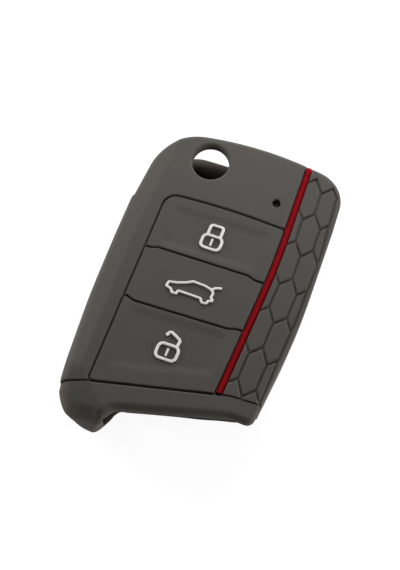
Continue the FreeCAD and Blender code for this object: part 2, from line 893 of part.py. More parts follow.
lock_place = (-cell["lock_x"], cell["lock_y"])
unlock_place = (-cell["unlock_x"], -cell["unlock_y"])
lock_icon = raise_symbol(
    "lock_icon", [lock_body("lock", *lock_place), shackle("lock", *lock_place)], dish_top
)
unlock_icon = raise_symbol(
    "unlock_icon",
    [lock_body("unlock", *unlock_place), shackle("unlock", *unlock_place, cell["shackle_swing"])],
    dish_top,
)
trunk_icon = car_symbol(-cell["car_x"], -cell["car_y"])
lock_keyhole = keyhole("lock_keyhole", *lock_place, dish_top)
unlock_keyhole = keyhole("unlock_keyhole", *unlock_place, dish_top)

# Hand-over

NODES = {
    "sleeve": sleeve,
    "button_web": button_web,
    "red_stripe": red_stripe,
    "lock_pad": lock_pad,
    "trunk_pad": trunk_pad,
    "unlock_pad": unlock_pad,
    "lock_icon": lock_icon,
    "lock_keyhole": lock_keyhole,
    "trunk_icon": trunk_icon,
    "unlock_icon": unlock_icon,
    "unlock_keyhole": unlock_keyhole,
}

doc.recompute()
for item in doc.Objects:
    if "Invalid" in item.State or "Error" in item.State:
        raise RuntimeError(f"{item.Name} did not build: {item.State}")
os.makedirs("parts", exist_ok=True)
for node, item in NODES.items():
    item.Label = node
    shape = item.Shape
    if shape.isNull() or not shape.isValid() or not shape.Solids:
        raise RuntimeError(f"{node} is not a valid solid")
    shape.exportStep(f"parts/{node}.step")
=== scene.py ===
import math
from collections import Counter

import bmesh
import bpy
import numpy as np
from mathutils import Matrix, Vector
from mathutils.geometry import delaunay_2d_cdt


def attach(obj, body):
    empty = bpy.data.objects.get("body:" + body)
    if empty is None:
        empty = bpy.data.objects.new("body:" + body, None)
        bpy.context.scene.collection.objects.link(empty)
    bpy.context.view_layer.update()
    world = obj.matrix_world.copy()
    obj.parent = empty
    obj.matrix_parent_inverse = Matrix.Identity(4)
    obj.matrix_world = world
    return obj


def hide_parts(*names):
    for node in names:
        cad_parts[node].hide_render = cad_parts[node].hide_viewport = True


bl_info = {
    "name": "Key fob cover",
    "version": (1, 0, 0),
    "blender": (4, 5, 0),
    "location": "View3D > Sidebar > Key cover",
    "description": "Dresses the packed key fob cover: sleeve, web, buttons, stripe, symbols and stage",
    "category": "Object",
}

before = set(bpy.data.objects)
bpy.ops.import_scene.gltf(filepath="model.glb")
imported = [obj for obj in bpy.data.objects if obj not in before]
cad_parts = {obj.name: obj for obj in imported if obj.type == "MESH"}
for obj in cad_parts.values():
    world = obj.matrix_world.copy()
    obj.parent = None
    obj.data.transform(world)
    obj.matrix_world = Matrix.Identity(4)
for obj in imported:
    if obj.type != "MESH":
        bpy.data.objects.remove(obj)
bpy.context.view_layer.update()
MM = 0.001

# Plan of the cover in millimetres, seen from the front: x, y and corner radius

OUTLINE = [
    (1.0, 39.55, 79), (-22.95, 35.75, 12.7), (-23.72, 16.2, 0.3), (-24.12, 15.5, 0.5), (-23.75, 4.5, 200),
    (-22.82, -12.5, 300), (-20.15, -38.8, 7.3), (-8.9, -38.8, 2.4), (-6.5, -35.4, 2.4), (16.9, -28.65, 8),
    (21.55, -28.75, 1.8), (24.39, -4.8, 140), (24.39, 22, 100), (23.95, 35.7, 8.6),
]
EDGE_ROLLS = (1.5, 1.5, 1.3, 1.3, 1.5, 1.5, 3.0, 2.4, 1.6, 1.3, 1.0, 0.9, 0.9, 1.4)
RIDGE = [(-16.85, -29.3), (-17.45, -18), (-18.05, -8), (-18.6, 3), (-18.7, 15), (-18.5, 24), (-18.4, 40)]
HEEL_RIDGE = [(-16.85, -29.3), (-9.6, -35.7)]
RIDGE_SLOPE, HEEL_SLOPE, RIDGE_BLEND = 0.33, 0.45, 0.5
BUMPER = [(-31.7, -36.1), (15.1, -24.5, 16), (31.7, -23.9)]
STRIPE = [(12.83, -24.4), (14.7, 7.85, 190), (14.0, 42.0)]
FIELD = [
    (-14.15, -31.76, 0.9), (11.78, -25.32), (13.68, 7.85, 190), (13.47, 17.95), (0, 18.75, 150),
    (-15.62, 17.95, 3.2),
]
UPPER_DIVIDER = [(-17, 2.73), (-13.9, 2.73), (-12.3, 3.33), (9.7, 3.57), (11.3, 2.97), (17, 2.97)]
LOWER_DIVIDER = [(-17, -10.55), (-13.9, -10.55), (-12.3, -11.15), (9.7, -10.35), (11.3, -9.75), (17, -9.75)]
LOCK_DISH = [(-11.95, 4.71, 1), (10.5, 5.34, 1), (10.9, 15.4, 1), (-11.95, 15.3, 1)]
UNLOCK_DISH = [(-11.3, -27.0, 1), (10.1, -21.45, 1), (10.1, -11.9, 1), (-11.3, -12.5, 1)]
PANEL_SIDE = [(22.75, 29.5), (23.45, 16, 30), (23.5, 11, 60), (23.05, -4, 90), (21.5, -24.2)]

# Levels in millimetres above the back

FLOOR, LOWER_LIP, SLOT_TOP, MOUTH_TOP, HEAD_TOP = 1.6, 5.4, 10.4, 13, 13.7
POCKET, CEILING, WEB_TOP, STRIPE_TOP, TOP = 13.5, 14, 15.15, 15.66, 16

# Thicknesses, radii and depths in millimetres

BACK_ROLL, LIP_ROLL, DRAFT, SIDE_WALL = 1.9, 0.45, 0.7, 1.8
RELEASE_RIM, LAMP_RIM, COMB_SHARE = 0.7, 0.2, 0.65
CHANNEL_GAP, CHANNEL_DEPTH, STRIPE_DEPTH = 0.5, 1.4, 1.0
BUMPER_SWELL, CROWN_SPREAD, WEB_GAP, SHARP_ANGLE = 0.5, 0.8, 0.05, 38

# Where openings and symbols are, in millimetres

RELEASE_AT, LAMP_AT, HOLE_LEAN = (-9.05, 30.1), (9.7, 24.25), 20.5
LOCK_AT, CAR_AT, UNLOCK_AT, BOW_SWING = (-1.1, 8.8), (-1.0, -4.05), (-0.7, -20.0), 26
STEP, TOE_INSIDE, FLANK_END, BACK_CROWN = 15.85, -33.3, -24.4, 38.0
BLADE_SLOT_END, BLADE_SLOT_SIDE, HEAD_SLOT_SIDE = -31, -15.9, -2
MOUTH_LEFT, MOUTH_RIGHT, LIP_DEPTH = -8.3, 20.1, 3.2
FRONT_FOOT = [
    (-10.6, -39.0), (-9.4, -38.95), (-8.7, -38.5), (-8.2, -37.75), (-7.75, -36.85), (-7.1, -35.9),
    (-6.3, -35.25), (-5.3, -35.05), (-3.4, -34.55), (0.7, -33.4), (6.9, -31.7), (11, -30.6), (15, -29.45),
    (18, -28.5), (19.8, -27.5), (21.5, -26.2), (31.7, -25.5),
]
BACK_FOOT = [
    (-13.3, -38.85), (-12.2, -38.5), (-11.4, -37.85), (-10.7, -36.85), (-9.95, -35.4), (-9.42, -34.19),
    (-8.99, -32.9), (-8.08, -31.75), (-6.06, -31.2), (-1.65, -29.95), (4.98, -28.15), (9.44, -27.05),
    (13.84, -25.75), (17.18, -24.9), (18.9, -24.1), (20.5, -22.7), (31.7, -21.7),
]
TOE_WALL = [(-8.5, -38.2), (-10.3, -35.9), (-11.5, -34.4), (-12.5, -33.1), (-12.5, -31.1)]

# Where the softboxes stand and how wide they are, in metres

LAMPS = {
    "left_lamp": ((-0.34, 0.02, 0.05), 0.24), "right_lamp": ((0.35, 0, 0.06), 0.24),
    "head_lamp": ((0, 0.3, 0.06), 0.24), "foot_lamp": ((0.05, -0.35, 0.06), 0.24),
    "near_lamp": ((-0.02, 0.15, 0.11), 0.14),
}


class CoverSizes(bpy.types.PropertyGroup):
    groove_width: bpy.props.FloatProperty(
        name="Groove width", description="Width of the bumper groove and the button grooves",
        default=0.0005, min=0.0003, max=0.0012, unit="LENGTH", precision=5)
    groove_depth: bpy.props.FloatProperty(
        name="Groove depth", description="Depth of the bumper and honeycomb grooves",
        default=0.0006, min=0.0001, max=0.001, unit="LENGTH", precision=5)
    comb_width: bpy.props.FloatProperty(
        name="Honeycomb groove", description="Width of the grooves between honeycomb cells",
        default=0.00098, min=0.0003, max=0.0012, unit="LENGTH", precision=5)
    release_diameter: bpy.props.FloatProperty(
        name="Release opening", description="Mean diameter of the opening for the release button",
        default=0.0092, min=0.006, max=0.01, unit="LENGTH", precision=5)
    lamp_diameter: bpy.props.FloatProperty(
        name="Lamp hole", description="Diameter of the hole for the indicator lamp",
        default=0.002, min=0.001, max=0.003, unit="LENGTH", precision=5)
    stripe_width: bpy.props.FloatProperty(
        name="Stripe width", description="Width of the red inlay",
        default=0.00152, min=0.0008, max=0.002, unit="LENGTH", precision=5)
    symbol_stroke: bpy.props.FloatProperty(
        name="Symbol stroke", description="Width of the lines of the button symbols",
        default=0.00065, min=0.0004, max=0.0012, unit="LENGTH", precision=5)
    symbol_height: bpy.props.FloatProperty(
        name="Symbol height", description="How far the symbols stand out of their pads",
        default=0.00035, min=0.0001, max=0.00035, unit="LENGTH", precision=5)
    dish_depth: bpy.props.FloatProperty(
        name="Dish depth", description="Depth of the shallow dishes in the outer pads",
        default=0.00022, min=0, max=0.0005, unit="LENGTH", precision=5)
    pad_edge: bpy.props.FloatProperty(
        name="Pad edge", description="Radius of the rolled edges of the pads",
        default=0.0002, min=0.0001, max=0.0006, unit="LENGTH", precision=5)
    window_edge: bpy.props.FloatProperty(
        name="Window edge", description="Radius of the rolled edge of the window round the pads",
        default=0.0003, min=0.0001, max=0.0006, unit="LENGTH", precision=5)


class CoverFinish(bpy.types.PropertyGroup):
    silicone: bpy.props.FloatVectorProperty(
        name="Silicone", description="Colour of the grey moulding",
        subtype="COLOR", size=3, default=(0.086, 0.080, 0.0715), min=0, max=1)
    stripe: bpy.props.FloatVectorProperty(
        name="Stripe", description="Colour of the red inlay",
        subtype="COLOR", size=3, default=(0.30, 0.009, 0.0135), min=0, max=1)
    symbols: bpy.props.FloatVectorProperty(
        name="Symbols", description="Colour of the raised symbols",
        subtype="COLOR", size=3, default=(0.8, 0.78, 0.75), min=0, max=1)
    roughness: bpy.props.FloatProperty(
        name="Roughness", description="Roughness of the silicone", subtype="FACTOR",
        default=0.7, min=0, max=1)


class CoverStage(bpy.types.PropertyGroup):
    camera: bpy.props.FloatVectorProperty(
        name="Camera", description="Where the camera stands", subtype="TRANSLATION", size=3,
        default=(0.0272, -0.07435, 0.1685), unit="LENGTH", precision=5)
    target: bpy.props.FloatVectorProperty(
        name="Target", description="The point the camera looks at", subtype="TRANSLATION", size=3,
        default=(0.00032, -0.00245, 0.016), unit="LENGTH", precision=5)
    lens: bpy.props.FloatProperty(
        name="Lens", description="Focal length of the camera in millimetres", default=48.1, min=20, max=120)
    daylight: bpy.props.FloatProperty(
        name="Daylight", description="Strength of the even light from all round", default=0.02, min=0, max=2)
    left_lamp: bpy.props.FloatProperty(
        name="Left lamp", description="Power of the low softbox on the left, in watts", default=1.68,
        min=0, max=20)
    right_lamp: bpy.props.FloatProperty(
        name="Right lamp", description="Power of the low softbox on the right, in watts", default=1.46,
        min=0, max=20)
    head_lamp: bpy.props.FloatProperty(
        name="Head lamp", description="Power of the low softbox beyond the head end, in watts", default=0.88,
        min=0, max=20)
    foot_lamp: bpy.props.FloatProperty(
        name="Foot lamp", description="Power of the low softbox before the foot end, in watts", default=0.14,
        min=0, max=20)
    near_lamp: bpy.props.FloatProperty(
        name="Near lamp", description="Power of the small softbox over the head end, in watts", default=0.22,
        min=0, max=20)


# Lines in the plan

def unit(vector):
    return vector / np.linalg.norm(vector)


def divided(points, step, closed):
    """The same line with no run between two points longer than the step."""
    points = np.asarray(points, float)
    last = len(points) if closed else len(points) - 1
    made = []
    for index in range(last):
        start, end = points[index], points[(index + 1) % len(points)]
        count = max(1, math.ceil(np.linalg.norm(end - start) / step - 1e-6))
        made.extend(start + (end - start) * k / count for k in range(count))
    if not closed:
        made.append(points[-1])
    return np.array(made)


def rounded(corners, step=0.6, closed=True):
    """Points along straight sides that turn each corner by an arc of its radius."""
    spots = [np.array(corner[:2], float) for corner in corners]
    made = []
    for index, corner in enumerate(corners):
        here = spots[index]
        radius = corner[2] if len(corner) > 2 else 0
        if not radius:
            made.append(here)
            continue
        back = unit(spots[index - 1] - here)
        on = unit(spots[(index + 1) % len(spots)] - here)
        half = math.acos(float(np.clip(back @ on, -1, 1))) / 2
        centre = here + unit(back + on) * radius / math.sin(half)
        first = here + back * radius / math.tan(half) - centre
        sweep = math.pi - 2 * half
        if back[0] * on[1] - back[1] * on[0] > 0:
            sweep = -sweep
        count = max(3, math.ceil(abs(sweep) * radius / step), math.ceil(abs(sweep) / math.radians(9)))
        angle = math.atan2(first[1], first[0])
        for k in range(count + 1):
            turn = angle + sweep * k / count
            made.append(centre + radius * np.array([math.cos(turn), math.sin(turn)]))
    return divided(made, step, closed)


def normals(line, closed=True):
    """Unit normals at each point, pointing to the right of the way the line runs."""
    if closed:
        along = np.roll(line, -1, 0) - np.roll(line, 1, 0)
    else:
        along = np.gradient(line, axis=0)
    along /= np.linalg.norm(along, axis=1)[:, None]
    return np.stack([along[:, 1], -along[:, 0]], 1)


def moved(line, distance, closed=True):
    """The line moved to its right, which is outwards for a loop."""
    return line + normals(line, closed) * np.reshape(distance, (-1, 1))


def even_normals(loop, reach=3):
    """Normals of a loop, evened out along it so that small corners don't fold when the loop is drawn in."""
    length = np.linalg.norm(np.roll(loop, -1, 0) - loop, axis=1)
    place = np.cumsum(length)
    gap = np.abs(place[:, None] - place)
    gap = np.minimum(gap, place[-1] - gap)
    out = np.clip(1 - gap / reach, 0, 1) @ (normals(loop) * length[:, None])
    return out / np.linalg.norm(out, axis=1)[:, None]


def curved(points, count=4):
    """A smooth line through the given points."""
    points = np.asarray(points, float)
    ends = np.vstack([2 * points[0] - points[1], points, 2 * points[-1] - points[-2]])
    made = []
    for before, start, end, after in zip(ends, ends[1:], ends[2:], ends[3:]):
        for t in np.arange(count) / count:
            made.append((2 * start + (end - before) * t + (2 * before - 5 * start + 4 * end - after) * t ** 2
                         + (3 * start - before - 3 * end + after) * t ** 3) / 2)
    made.append(points[-1])
    return np.array(made)


def pieces_of(line, closed):
    return (line, np.roll(line, -1, 0)) if closed else (line[:-1], line[1:])


def nearest(points, starts, ends):
    """Distance from each point to the nearest of many short lines, and the foot of it."""
    along = ends - starts
    size = (along ** 2).sum(1)
    distance = np.empty(len(points))
    foot = np.empty((len(points), 2))
    which = np.empty(len(points))
    for low in range(0, len(points), 1500):
        spots = points[low:low + 1500]
        share = ((spots[:, None] - starts) * along).sum(2) / size
        share = share.clip(0, 1)
        feet = starts + share[..., None] * along
        gap = ((spots[:, None] - feet) ** 2).sum(2)
        best = gap.argmin(1)
        row = np.arange(len(spots))
        distance[low:low + 1500] = np.sqrt(gap[row, best])
        foot[low:low + 1500] = feet[row, best]
        which[low:low + 1500] = best + share[row, best]
    return distance, foot, which


def inside(points, loop):
    starts, ends = pieces_of(loop, True)
    rise = ends[:, 1] - starts[:, 1]
    rise = np.where(rise == 0, 1e-12, rise)
    answer = np.empty(len(points), bool)
    for low in range(0, len(points), 3000):
        spots = points[low:low + 3000]
        spans = (starts[:, 1] > spots[:, None, 1]) != (ends[:, 1] > spots[:, None, 1])
        cross = starts[:, 0] + (spots[:, None, 1] - starts[:, 1]) / rise * (ends[:, 0] - starts[:, 0])
        answer[low:low + 3000] = ((spots[:, None, 0] < cross) & spans).sum(1) % 2 == 1
    return answer


def between(points, outer, holes):
    """True at points inside a loop and off the holes in it."""
    answer = inside(points, outer)
    for hole in holes:
        answer &= ~inside(points, hole)
    return answer


def returned(loop):
    """A loop as a line that comes back to its first point."""
    return np.vstack([loop, loop[:1]])


def ease(share):
    share = np.clip(share, 0, 1)
    return share * share * (3 - 2 * share)


def quarter(share):
    """How far a rolled edge has dropped, at a way in from its rim, both as shares of its radius."""
    return 1 - np.sqrt(1 - (1 - np.clip(share, 0, 1)) ** 2)


# Grooves and rims of the front

class Groove:
    """A groove with a rounded section along lines in the plan, that may get shallow towards the crown."""

    def __init__(self, lines, width, depth, slope=0.8, shallow=0):
        self.lines = lines
        self.half = width / 2
        self.deep = depth
        self.slope = slope
        self.shallow = shallow
        runs = [pieces_of(line, False) for line in lines]
        self.starts = np.concatenate([run[0] for run in runs])
        self.ends = np.concatenate([run[1] for run in runs])

    def depth(self, points):
        reach = self.half - nearest(points, self.starts, self.ends)[0]
        fade = 1 - self.shallow * ease((points[:, 1] - 34) / 3)
        return self.deep * fade * ease(reach / (self.slope * self.half))

    def guides(self):
        for line in self.lines:
            yield line, self.deep
            for share in (-0.4, 0, 0.25, 0.5, 0.75, 1):
                own = self.deep * float(ease(share))
                for side in (-1, 1):
                    yield moved(line, side * self.half * (1 - share * self.slope), False), own


class Rim:
    """The rolled edge of an opening in the front."""

    def __init__(self, loop, radius):
        self.loop = loop
        self.radius = radius
        self.starts, self.ends = pieces_of(loop, True)

    def depth(self, points):
        out = nearest(points, self.starts, self.ends)[0]
        out[inside(points, self.loop)] = 0
        return self.radius * quarter(out / self.radius)

    def guides(self):
        for turn in (15, 35, 55, 75, 90, 100):
            out = self.radius * (1 - math.cos(math.radians(min(turn, 90)))) + max(0, turn - 90) * 0.015
            yield returned(moved(self.loop, out)), self.radius * float(quarter(out / self.radius))


# Meshes

class Builder:
    """Collects points and faces of one mesh in millimetres."""

    def __init__(self):
        self.points = []
        self.faces = []

    def add(self, points):
        first = len(self.points)
        self.points.extend(map(tuple, points))
        return list(range(first, first + len(points)))

    def strip(self, upper, lower):
        """Faces between two closed rows of the same length."""
        for index in range(len(upper)):
            following = (index + 1) % len(upper)
            self.faces.append((upper[index], lower[index], lower[following], upper[following]))

    def cap(self, ring):
        """Triangles across a closed row."""
        flat = np.array([self.points[index][:2] for index in ring])
        _, faces, source = triangles(flat, closed_edges(len(flat)), lambda spots: inside(spots, flat))
        for face in faces:
            self.faces.append(tuple(ring[source[corner]] for corner in face))

    def make(self, name):
        mesh = bpy.data.meshes.new(name)
        mesh.from_pydata([[value * MM for value in point] for point in self.points], [], self.faces)
        return finished(mesh, name)


def finished(mesh, name):
    """A closed mesh with its doubles merged and its faces turned outwards, as an object at the origin."""
    shape = bmesh.new()
    shape.from_mesh(mesh)
    bmesh.ops.remove_doubles(shape, verts=shape.verts, dist=1e-7)
    bmesh.ops.dissolve_degenerate(shape, edges=shape.edges, dist=1e-7)
    bmesh.ops.recalc_face_normals(shape, faces=shape.faces)
    shape.to_mesh(mesh)
    shape.free()
    mesh.shade_smooth()
    mesh.set_sharp_from_angle(angle=math.radians(SHARP_ANGLE))
    item = bpy.data.objects.new(name, mesh)
    bpy.context.scene.collection.objects.link(item)
    return item


def closed_edges(count, first=0):
    return [(first + index, first + (index + 1) % count) for index in range(count)]


def triangles(points, edges, keep):
    """Triangles that hold to the given edges; source names the point that each corner came from."""
    places = [Vector(point) for point in points]
    spots, lines, faces, origin, held, _ = delaunay_2d_cdt(places, edges, [], 0, 1e-6)
    flat = np.array([spot[:] for spot in spots])
    faces = np.array([face for face in faces if len(face) == 3])
    source = [min(place) if place else -1 for place in origin]
    first, second, third = (flat[faces[:, k]] for k in range(3))
    doubled = np.cross(second - first, third - first)
    faces[doubled < 0] = faces[doubled < 0][:, ::-1]
    faces = faces[np.abs(doubled) > 1e-9]
    faces = faces[keep(flat[faces].mean(1))]
    given = {tuple(sorted(line)) for line, cause in zip(lines, held) if cause}
    sound = [False]
    while not all(sound):
        sides = [[tuple(sorted(pair)) for pair in ((a, b), (b, c), (c, a))] for a, b, c in faces.tolist()]
        uses = Counter(side for three in sides for side in three)
        sound = [all(uses[side] > 1 or side in given for side in three) for three in sides]
        faces = faces[sound]
    return flat, faces, source


class Plan:
    """Points and edges that the triangles of a front surface hold to."""

    def __init__(self):
        self.points = []
        self.edges = []

    def loop(self, loop):
        first = len(self.points)
        self.points.extend(loop)
        self.edges.extend(closed_edges(len(loop), first))
        return range(first, first + len(loop))

    def line(self, line, allowed, wanted):
        """Adds the runs of a line whose ends are both allowed and of which one at least is wanted."""
        use = allowed[:-1] & allowed[1:] & (wanted[:-1] | wanted[1:])
        place = {}
        for index in np.nonzero(use)[0]:
            for end in (index, index + 1):
                if end not in place:
                    place[end] = len(self.points)
                    self.points.append(line[end])
            self.edges.append((place[index], place[index + 1]))

    def fill(self, low, high, spacing, wanted):
        """An even spread of points where nothing else is near."""
        taken = np.array(self.points)
        rows = np.arange(low[1], high[1], spacing * 0.866)
        spread = np.array([
            (x + (k % 2) * spacing / 2, y)
            for k, y in enumerate(rows) for x in np.arange(low[0], high[0], spacing)
        ])
        spread = spread[wanted(spread)]
        free = [
            point for point in spread
            if ((taken - point) ** 2).sum(1).min() > (spacing * 0.55) ** 2
        ]
        self.points.extend(free)


def skin(plan, keep, surface):
    """A builder with a plan's triangles raised to a surface, and where in it each point of the plan is."""
    flat, faces, source = triangles(plan.points, plan.edges, keep)
    body = Builder()
    places = body.add(surface(flat))
    body.faces.extend(tuple(places[corner] for corner in face) for face in faces)
    return body, {origin: places[index] for index, origin in enumerate(source) if origin >= 0}


def prism(name, rows):
    """A closed body through level rows of points, each row a loop and its height."""
    body = Builder()
    rings = [body.add(np.column_stack([loop, np.broadcast_to(height, len(loop))])) for loop, height in rows]
    for lower, upper in zip(rings, rings[1:]):
        body.strip(upper, lower)
    body.faces.append(tuple(rings[0]))
    body.faces.append(tuple(rings[-1]))
    return body.make(name)


def block(name, x, y, z):
    loop = [(x[0], y[0]), (x[1], y[0]), (x[1], y[1]), (x[0], y[1])]
    return prism(name, [(loop, z[0]), (loop, z[1])])


def carve(item, cutters):
    """Takes the cutters out of an object for good and removes them."""
    group = bpy.data.collections.new("cutters")
    for cutter in cutters:
        for home in cutter.users_collection:
            home.objects.unlink(cutter)
        group.objects.link(cutter)
    bpy.context.scene.collection.children.link(group)
    step = item.modifiers.new("openings", "BOOLEAN")
    step.operation = "DIFFERENCE"
    step.operand_type = "COLLECTION"
    step.collection = group
    step.solver = "EXACT"
    bpy.context.view_layer.update()
    carved = bpy.data.meshes.new_from_object(item.evaluated_get(bpy.context.evaluated_depsgraph_get()))
    name = item.name
    for old in [item, *cutters]:
        mesh = old.data
        bpy.data.objects.remove(old)
        bpy.data.meshes.remove(mesh)
    bpy.data.collections.remove(group)
    return finished(carved, name)


# Shape of the cover

def stripe_line(step=0.5):
    return rounded(STRIPE, step, closed=False)


def stripe_x(y):
    line = stripe_line()
    return np.interp(y, line[:, 1], line[:, 0])


def comb_lines():
    """Edges of the leaning honeycomb beside the stripe, and the groove along its outer side."""
    width, side, point, skew, offset, start = 4.55, 6.1, 2.95, 0.27, 4.7, 18.4
    pitch = 2 * (side + point)
    border = rounded(PANEL_SIDE, 0.4, closed=False)

    def place(u, v):
        y = v - skew * u
        return stripe_x(y) + offset + u, y

    lines = [border]
    seen = set()
    for column in (-1, -0.5, 0, 0.5, 1):
        for row in range(-3, 1):
            middle = start + pitch * (row + abs(column) % 1)
            u = width * column
            corners = [
                (u, middle + side / 2 + point), (u + width / 2, middle + side / 2),
                (u + width / 2, middle - side / 2), (u, middle - side / 2 - point),
                (u - width / 2, middle - side / 2), (u - width / 2, middle + side / 2),
            ]
            for first, second in zip(corners, corners[1:] + corners[:1]):
                key = tuple(sorted((tuple(np.round(first, 2)), tuple(np.round(second, 2)))))
                if key not in seen:
                    seen.add(key)
                    line = np.array([place(*first), place(*second)])
                    lines.extend(clipped(divided(line, 0.35, False), border))
    return lines


def clipped(line, border):
    """The part of a honeycomb edge that lies between the stripe and the outer groove, above the bumper."""
    right = np.interp(line[:, 1], border[::-1, 1], border[::-1, 0])
    keep = (line[:, 0] > stripe_x(line[:, 1]) + 0.5) & (line[:, 0] < right + 0.15)
    keep &= line[:, 1] > bumper_y(line[:, 0])
    return [line[keep]] if keep.sum() > 1 else []


def bumper_y(x):
    line = rounded(BUMPER, 0.5, closed=False)
    return np.interp(x, line[:, 0], line[:, 1])


def oval(x, y, across, along, lean, count):
    """A closed oval whose longer way leans from the length of the cover, in degrees to the left."""
    turns = np.arange(count) * 2 * math.pi / count
    side, up = across * np.cos(turns), along * np.sin(turns)
    turn, rise = math.cos(math.radians(lean)), math.sin(math.radians(lean))
    return np.stack([x + side * turn - up * rise, y + side * rise + up * turn], 1)


def fine_outline():
    """The outline, with short runs where the bumper groove goes round it, and its edge roll at each point."""
    loop = rounded(OUTLINE, 0.6)
    points = []
    for start, end in zip(loop, np.roll(loop, -1, 0)):
        near = abs((start + end)[1] / 2 - bumper_y((start + end)[0] / 2)) < 1.4
        points.extend(divided([start, end], 0.13 if near and abs(start[0]) > 12 else 1, False)[:-1])
    loop = np.array(points)
    corners = np.array([corner[:2] for corner in OUTLINE])
    _, _, places = nearest(corners, *pieces_of(loop, True))
    order = np.argsort(places)
    span = len(loop)
    marks = np.concatenate([places[order] - span, places[order], places[order] + span])
    rolls = np.tile(np.array(EDGE_ROLLS)[order], 3)
    return loop, np.interp(np.arange(span), marks, rolls)


class Front:
    """The front of the sleeve: a flat top with rolled edges, grooves and rims."""

    def __init__(self, sizes):
        mm = 1 / MM
        self.loop, self.rolls = fine_outline()
        self.out = normals(self.loop)
        self.away = even_normals(self.loop)
        self.starts, self.ends = pieces_of(self.loop, True)
        edge = sizes.window_edge * mm
        groove = sizes.groove_width * mm
        depth = sizes.groove_depth * mm
        window = moved(rounded(FIELD, 0.5), groove / 2)
        release = sizes.release_diameter * mm / 2
        lamp = sizes.lamp_diameter * mm / 2
        opening = oval(*RELEASE_AT, release * 0.985, release * 1.095, HOLE_LEAN, 80)
        lamp_hole = oval(*LAMP_AT, lamp, lamp * 1.15, HOLE_LEAN, 36)
        self.rims = [Rim(window, edge), Rim(opening, RELEASE_RIM), Rim(lamp_hole, LAMP_RIM)]
        channel = sizes.stripe_width * mm + CHANNEL_GAP
        self.grooves = [
            Groove([rounded(BUMPER, 0.4, closed=False)], groove, depth),
            Groove([stripe_line(0.4)], channel, CHANNEL_DEPTH, slope=0.35, shallow=0.9),
            Groove(comb_lines(), sizes.comb_width * mm, depth * COMB_SHARE),
        ]

    def depth(self, points):
        return np.max([part.depth(points) for part in self.grooves + self.rims], axis=0)

    def proud(self, points):
        """How far the bumper swells out of the left flank below its groove."""
        below = bumper_y(points[:, 0]) - points[:, 1]
        return BUMPER_SWELL * ease((below - 0.2) / 1.2) * ease((-14 - points[:, 0]) / 4)

    def bevel(self, points):
        """How far the left flank and the heel have sloped down, and how steeply, across and along."""
        ridge, heel = np.array(RIDGE), np.array(HEEL_RIDGE)
        run = unit(heel[1] - heel[0])
        ways = [(np.array([-1.0, 0.0]), RIDGE_SLOPE), (np.array([run[1], -run[0]]), HEEL_SLOPE)]
        flank = np.interp(points[:, 1], ridge[:, 1], ridge[:, 0]) - points[:, 0]
        beyond = [flank, (points - heel[0]) @ ways[1][0]]
        drops, tilts = [], []
        for reach, (way, slope) in zip(beyond, ways):
            blend = np.clip((reach + RIDGE_BLEND) / (2 * RIDGE_BLEND), 0, 1)
            drops.append(slope * np.where(reach > RIDGE_BLEND, reach, RIDGE_BLEND * blend ** 2))
            tilts.append(slope * blend[:, None] * way)
        drop = (drops[0] ** 4 + drops[1] ** 4) ** 0.25
        share = [(part / np.maximum(drop, 1e-9))[:, None] ** 3 for part in drops]
        return drop, share[0] * tilts[0] + share[1] * tilts[1]

    def base(self, points):
        """Height of the plain top and the way it faces, at points in the plan."""
        distance, foot, which = nearest(points, self.starts, self.ends)
        count = len(self.rolls)
        roll = np.interp(which % count, np.arange(count + 1), np.append(self.rolls, self.rolls[0]))
        lean = np.clip((roll - distance) / roll, 0, 1)
        up = np.sqrt(1 - lean ** 2)
        away = (foot - points) / np.maximum(distance, 1e-9)[:, None]
        edge = distance < 1e-4
        away[edge] = self.out[np.round(which[edge]).astype(int) % count]
        drop, tilt = self.bevel(points)
        tall = 1 + ease((-32.5 - foot[:, 1]) / 3) * ease((-8.4 - foot[:, 0]) / 1.6)
        facing = np.column_stack([away * (lean * tall)[:, None] + tilt * up[:, None], up])
        facing /= np.linalg.norm(facing, axis=1)[:, None]
        return TOP - drop - roll * tall * (1 - up), facing

    def surface(self, points):
        height, facing = self.base(points)
        sunk = self.depth(points) - self.proud(points) * (1 - facing[:, 2])
        return np.column_stack([points, height]) - facing * sunk[:, None]

    def clear(self, points):
        """True where a guide may run: inside the outline and off the openings."""
        gap = nearest(points, self.starts, self.ends)[0]
        answer = inside(points, self.loop) & (gap > 0.05)
        for rim in self.rims:
            off = nearest(points, rim.starts, rim.ends)[0]
            answer &= ~inside(points, rim.loop) & (off > 0.03)
        return answer

    def plan(self):
        plan = Plan()
        ring = plan.loop(self.loop)
        pockets = [plan.loop(rim.loop) for rim in self.rims]
        for turn in (12, 24, 36, 48, 60, 72, 82, 90, 94):
            inset = self.rolls * (1 - math.cos(math.radians(min(turn, 90)))) + max(0, turn - 90) * 0.03
            line = returned(moved(self.loop, -inset))
            true = nearest(line, self.starts, self.ends)[0]
            right = np.abs(true - np.append(inset, inset[0])) < 0.02 + 0.01 * true
            plan.line(line, self.clear(line) & right, np.ones(len(line), bool))
        for part in self.grooves + self.rims:
            for line, own in part.guides():
                plan.line(line, self.clear(line), self.depth(line) < own + 0.015)
        ridge, heel = divided(RIDGE, 0.8, False), divided(HEEL_RIDGE, 0.8, False)
        for share in (-1.1, -0.6, 0, 0.6, 1.1):
            for line in (moved(ridge, RIDGE_BLEND * share, False), moved(heel, RIDGE_BLEND * share, False)):
                plan.line(line, self.clear(line), self.depth(line) < 0.015)
        low, high = self.loop.min(0), self.loop.max(0)
        plan.fill(low, high, 1.5, lambda spots: self.clear(spots) & (self.depth(spots) < 0.01))
        return plan, ring, pockets


def under(height, edge):
    """How far a wall draws in to round its lower edge."""
    share = np.clip((edge + LIP_ROLL - height) / LIP_ROLL, 0, 1)
    return LIP_ROLL * (1 - np.sqrt(1 - share ** 2))


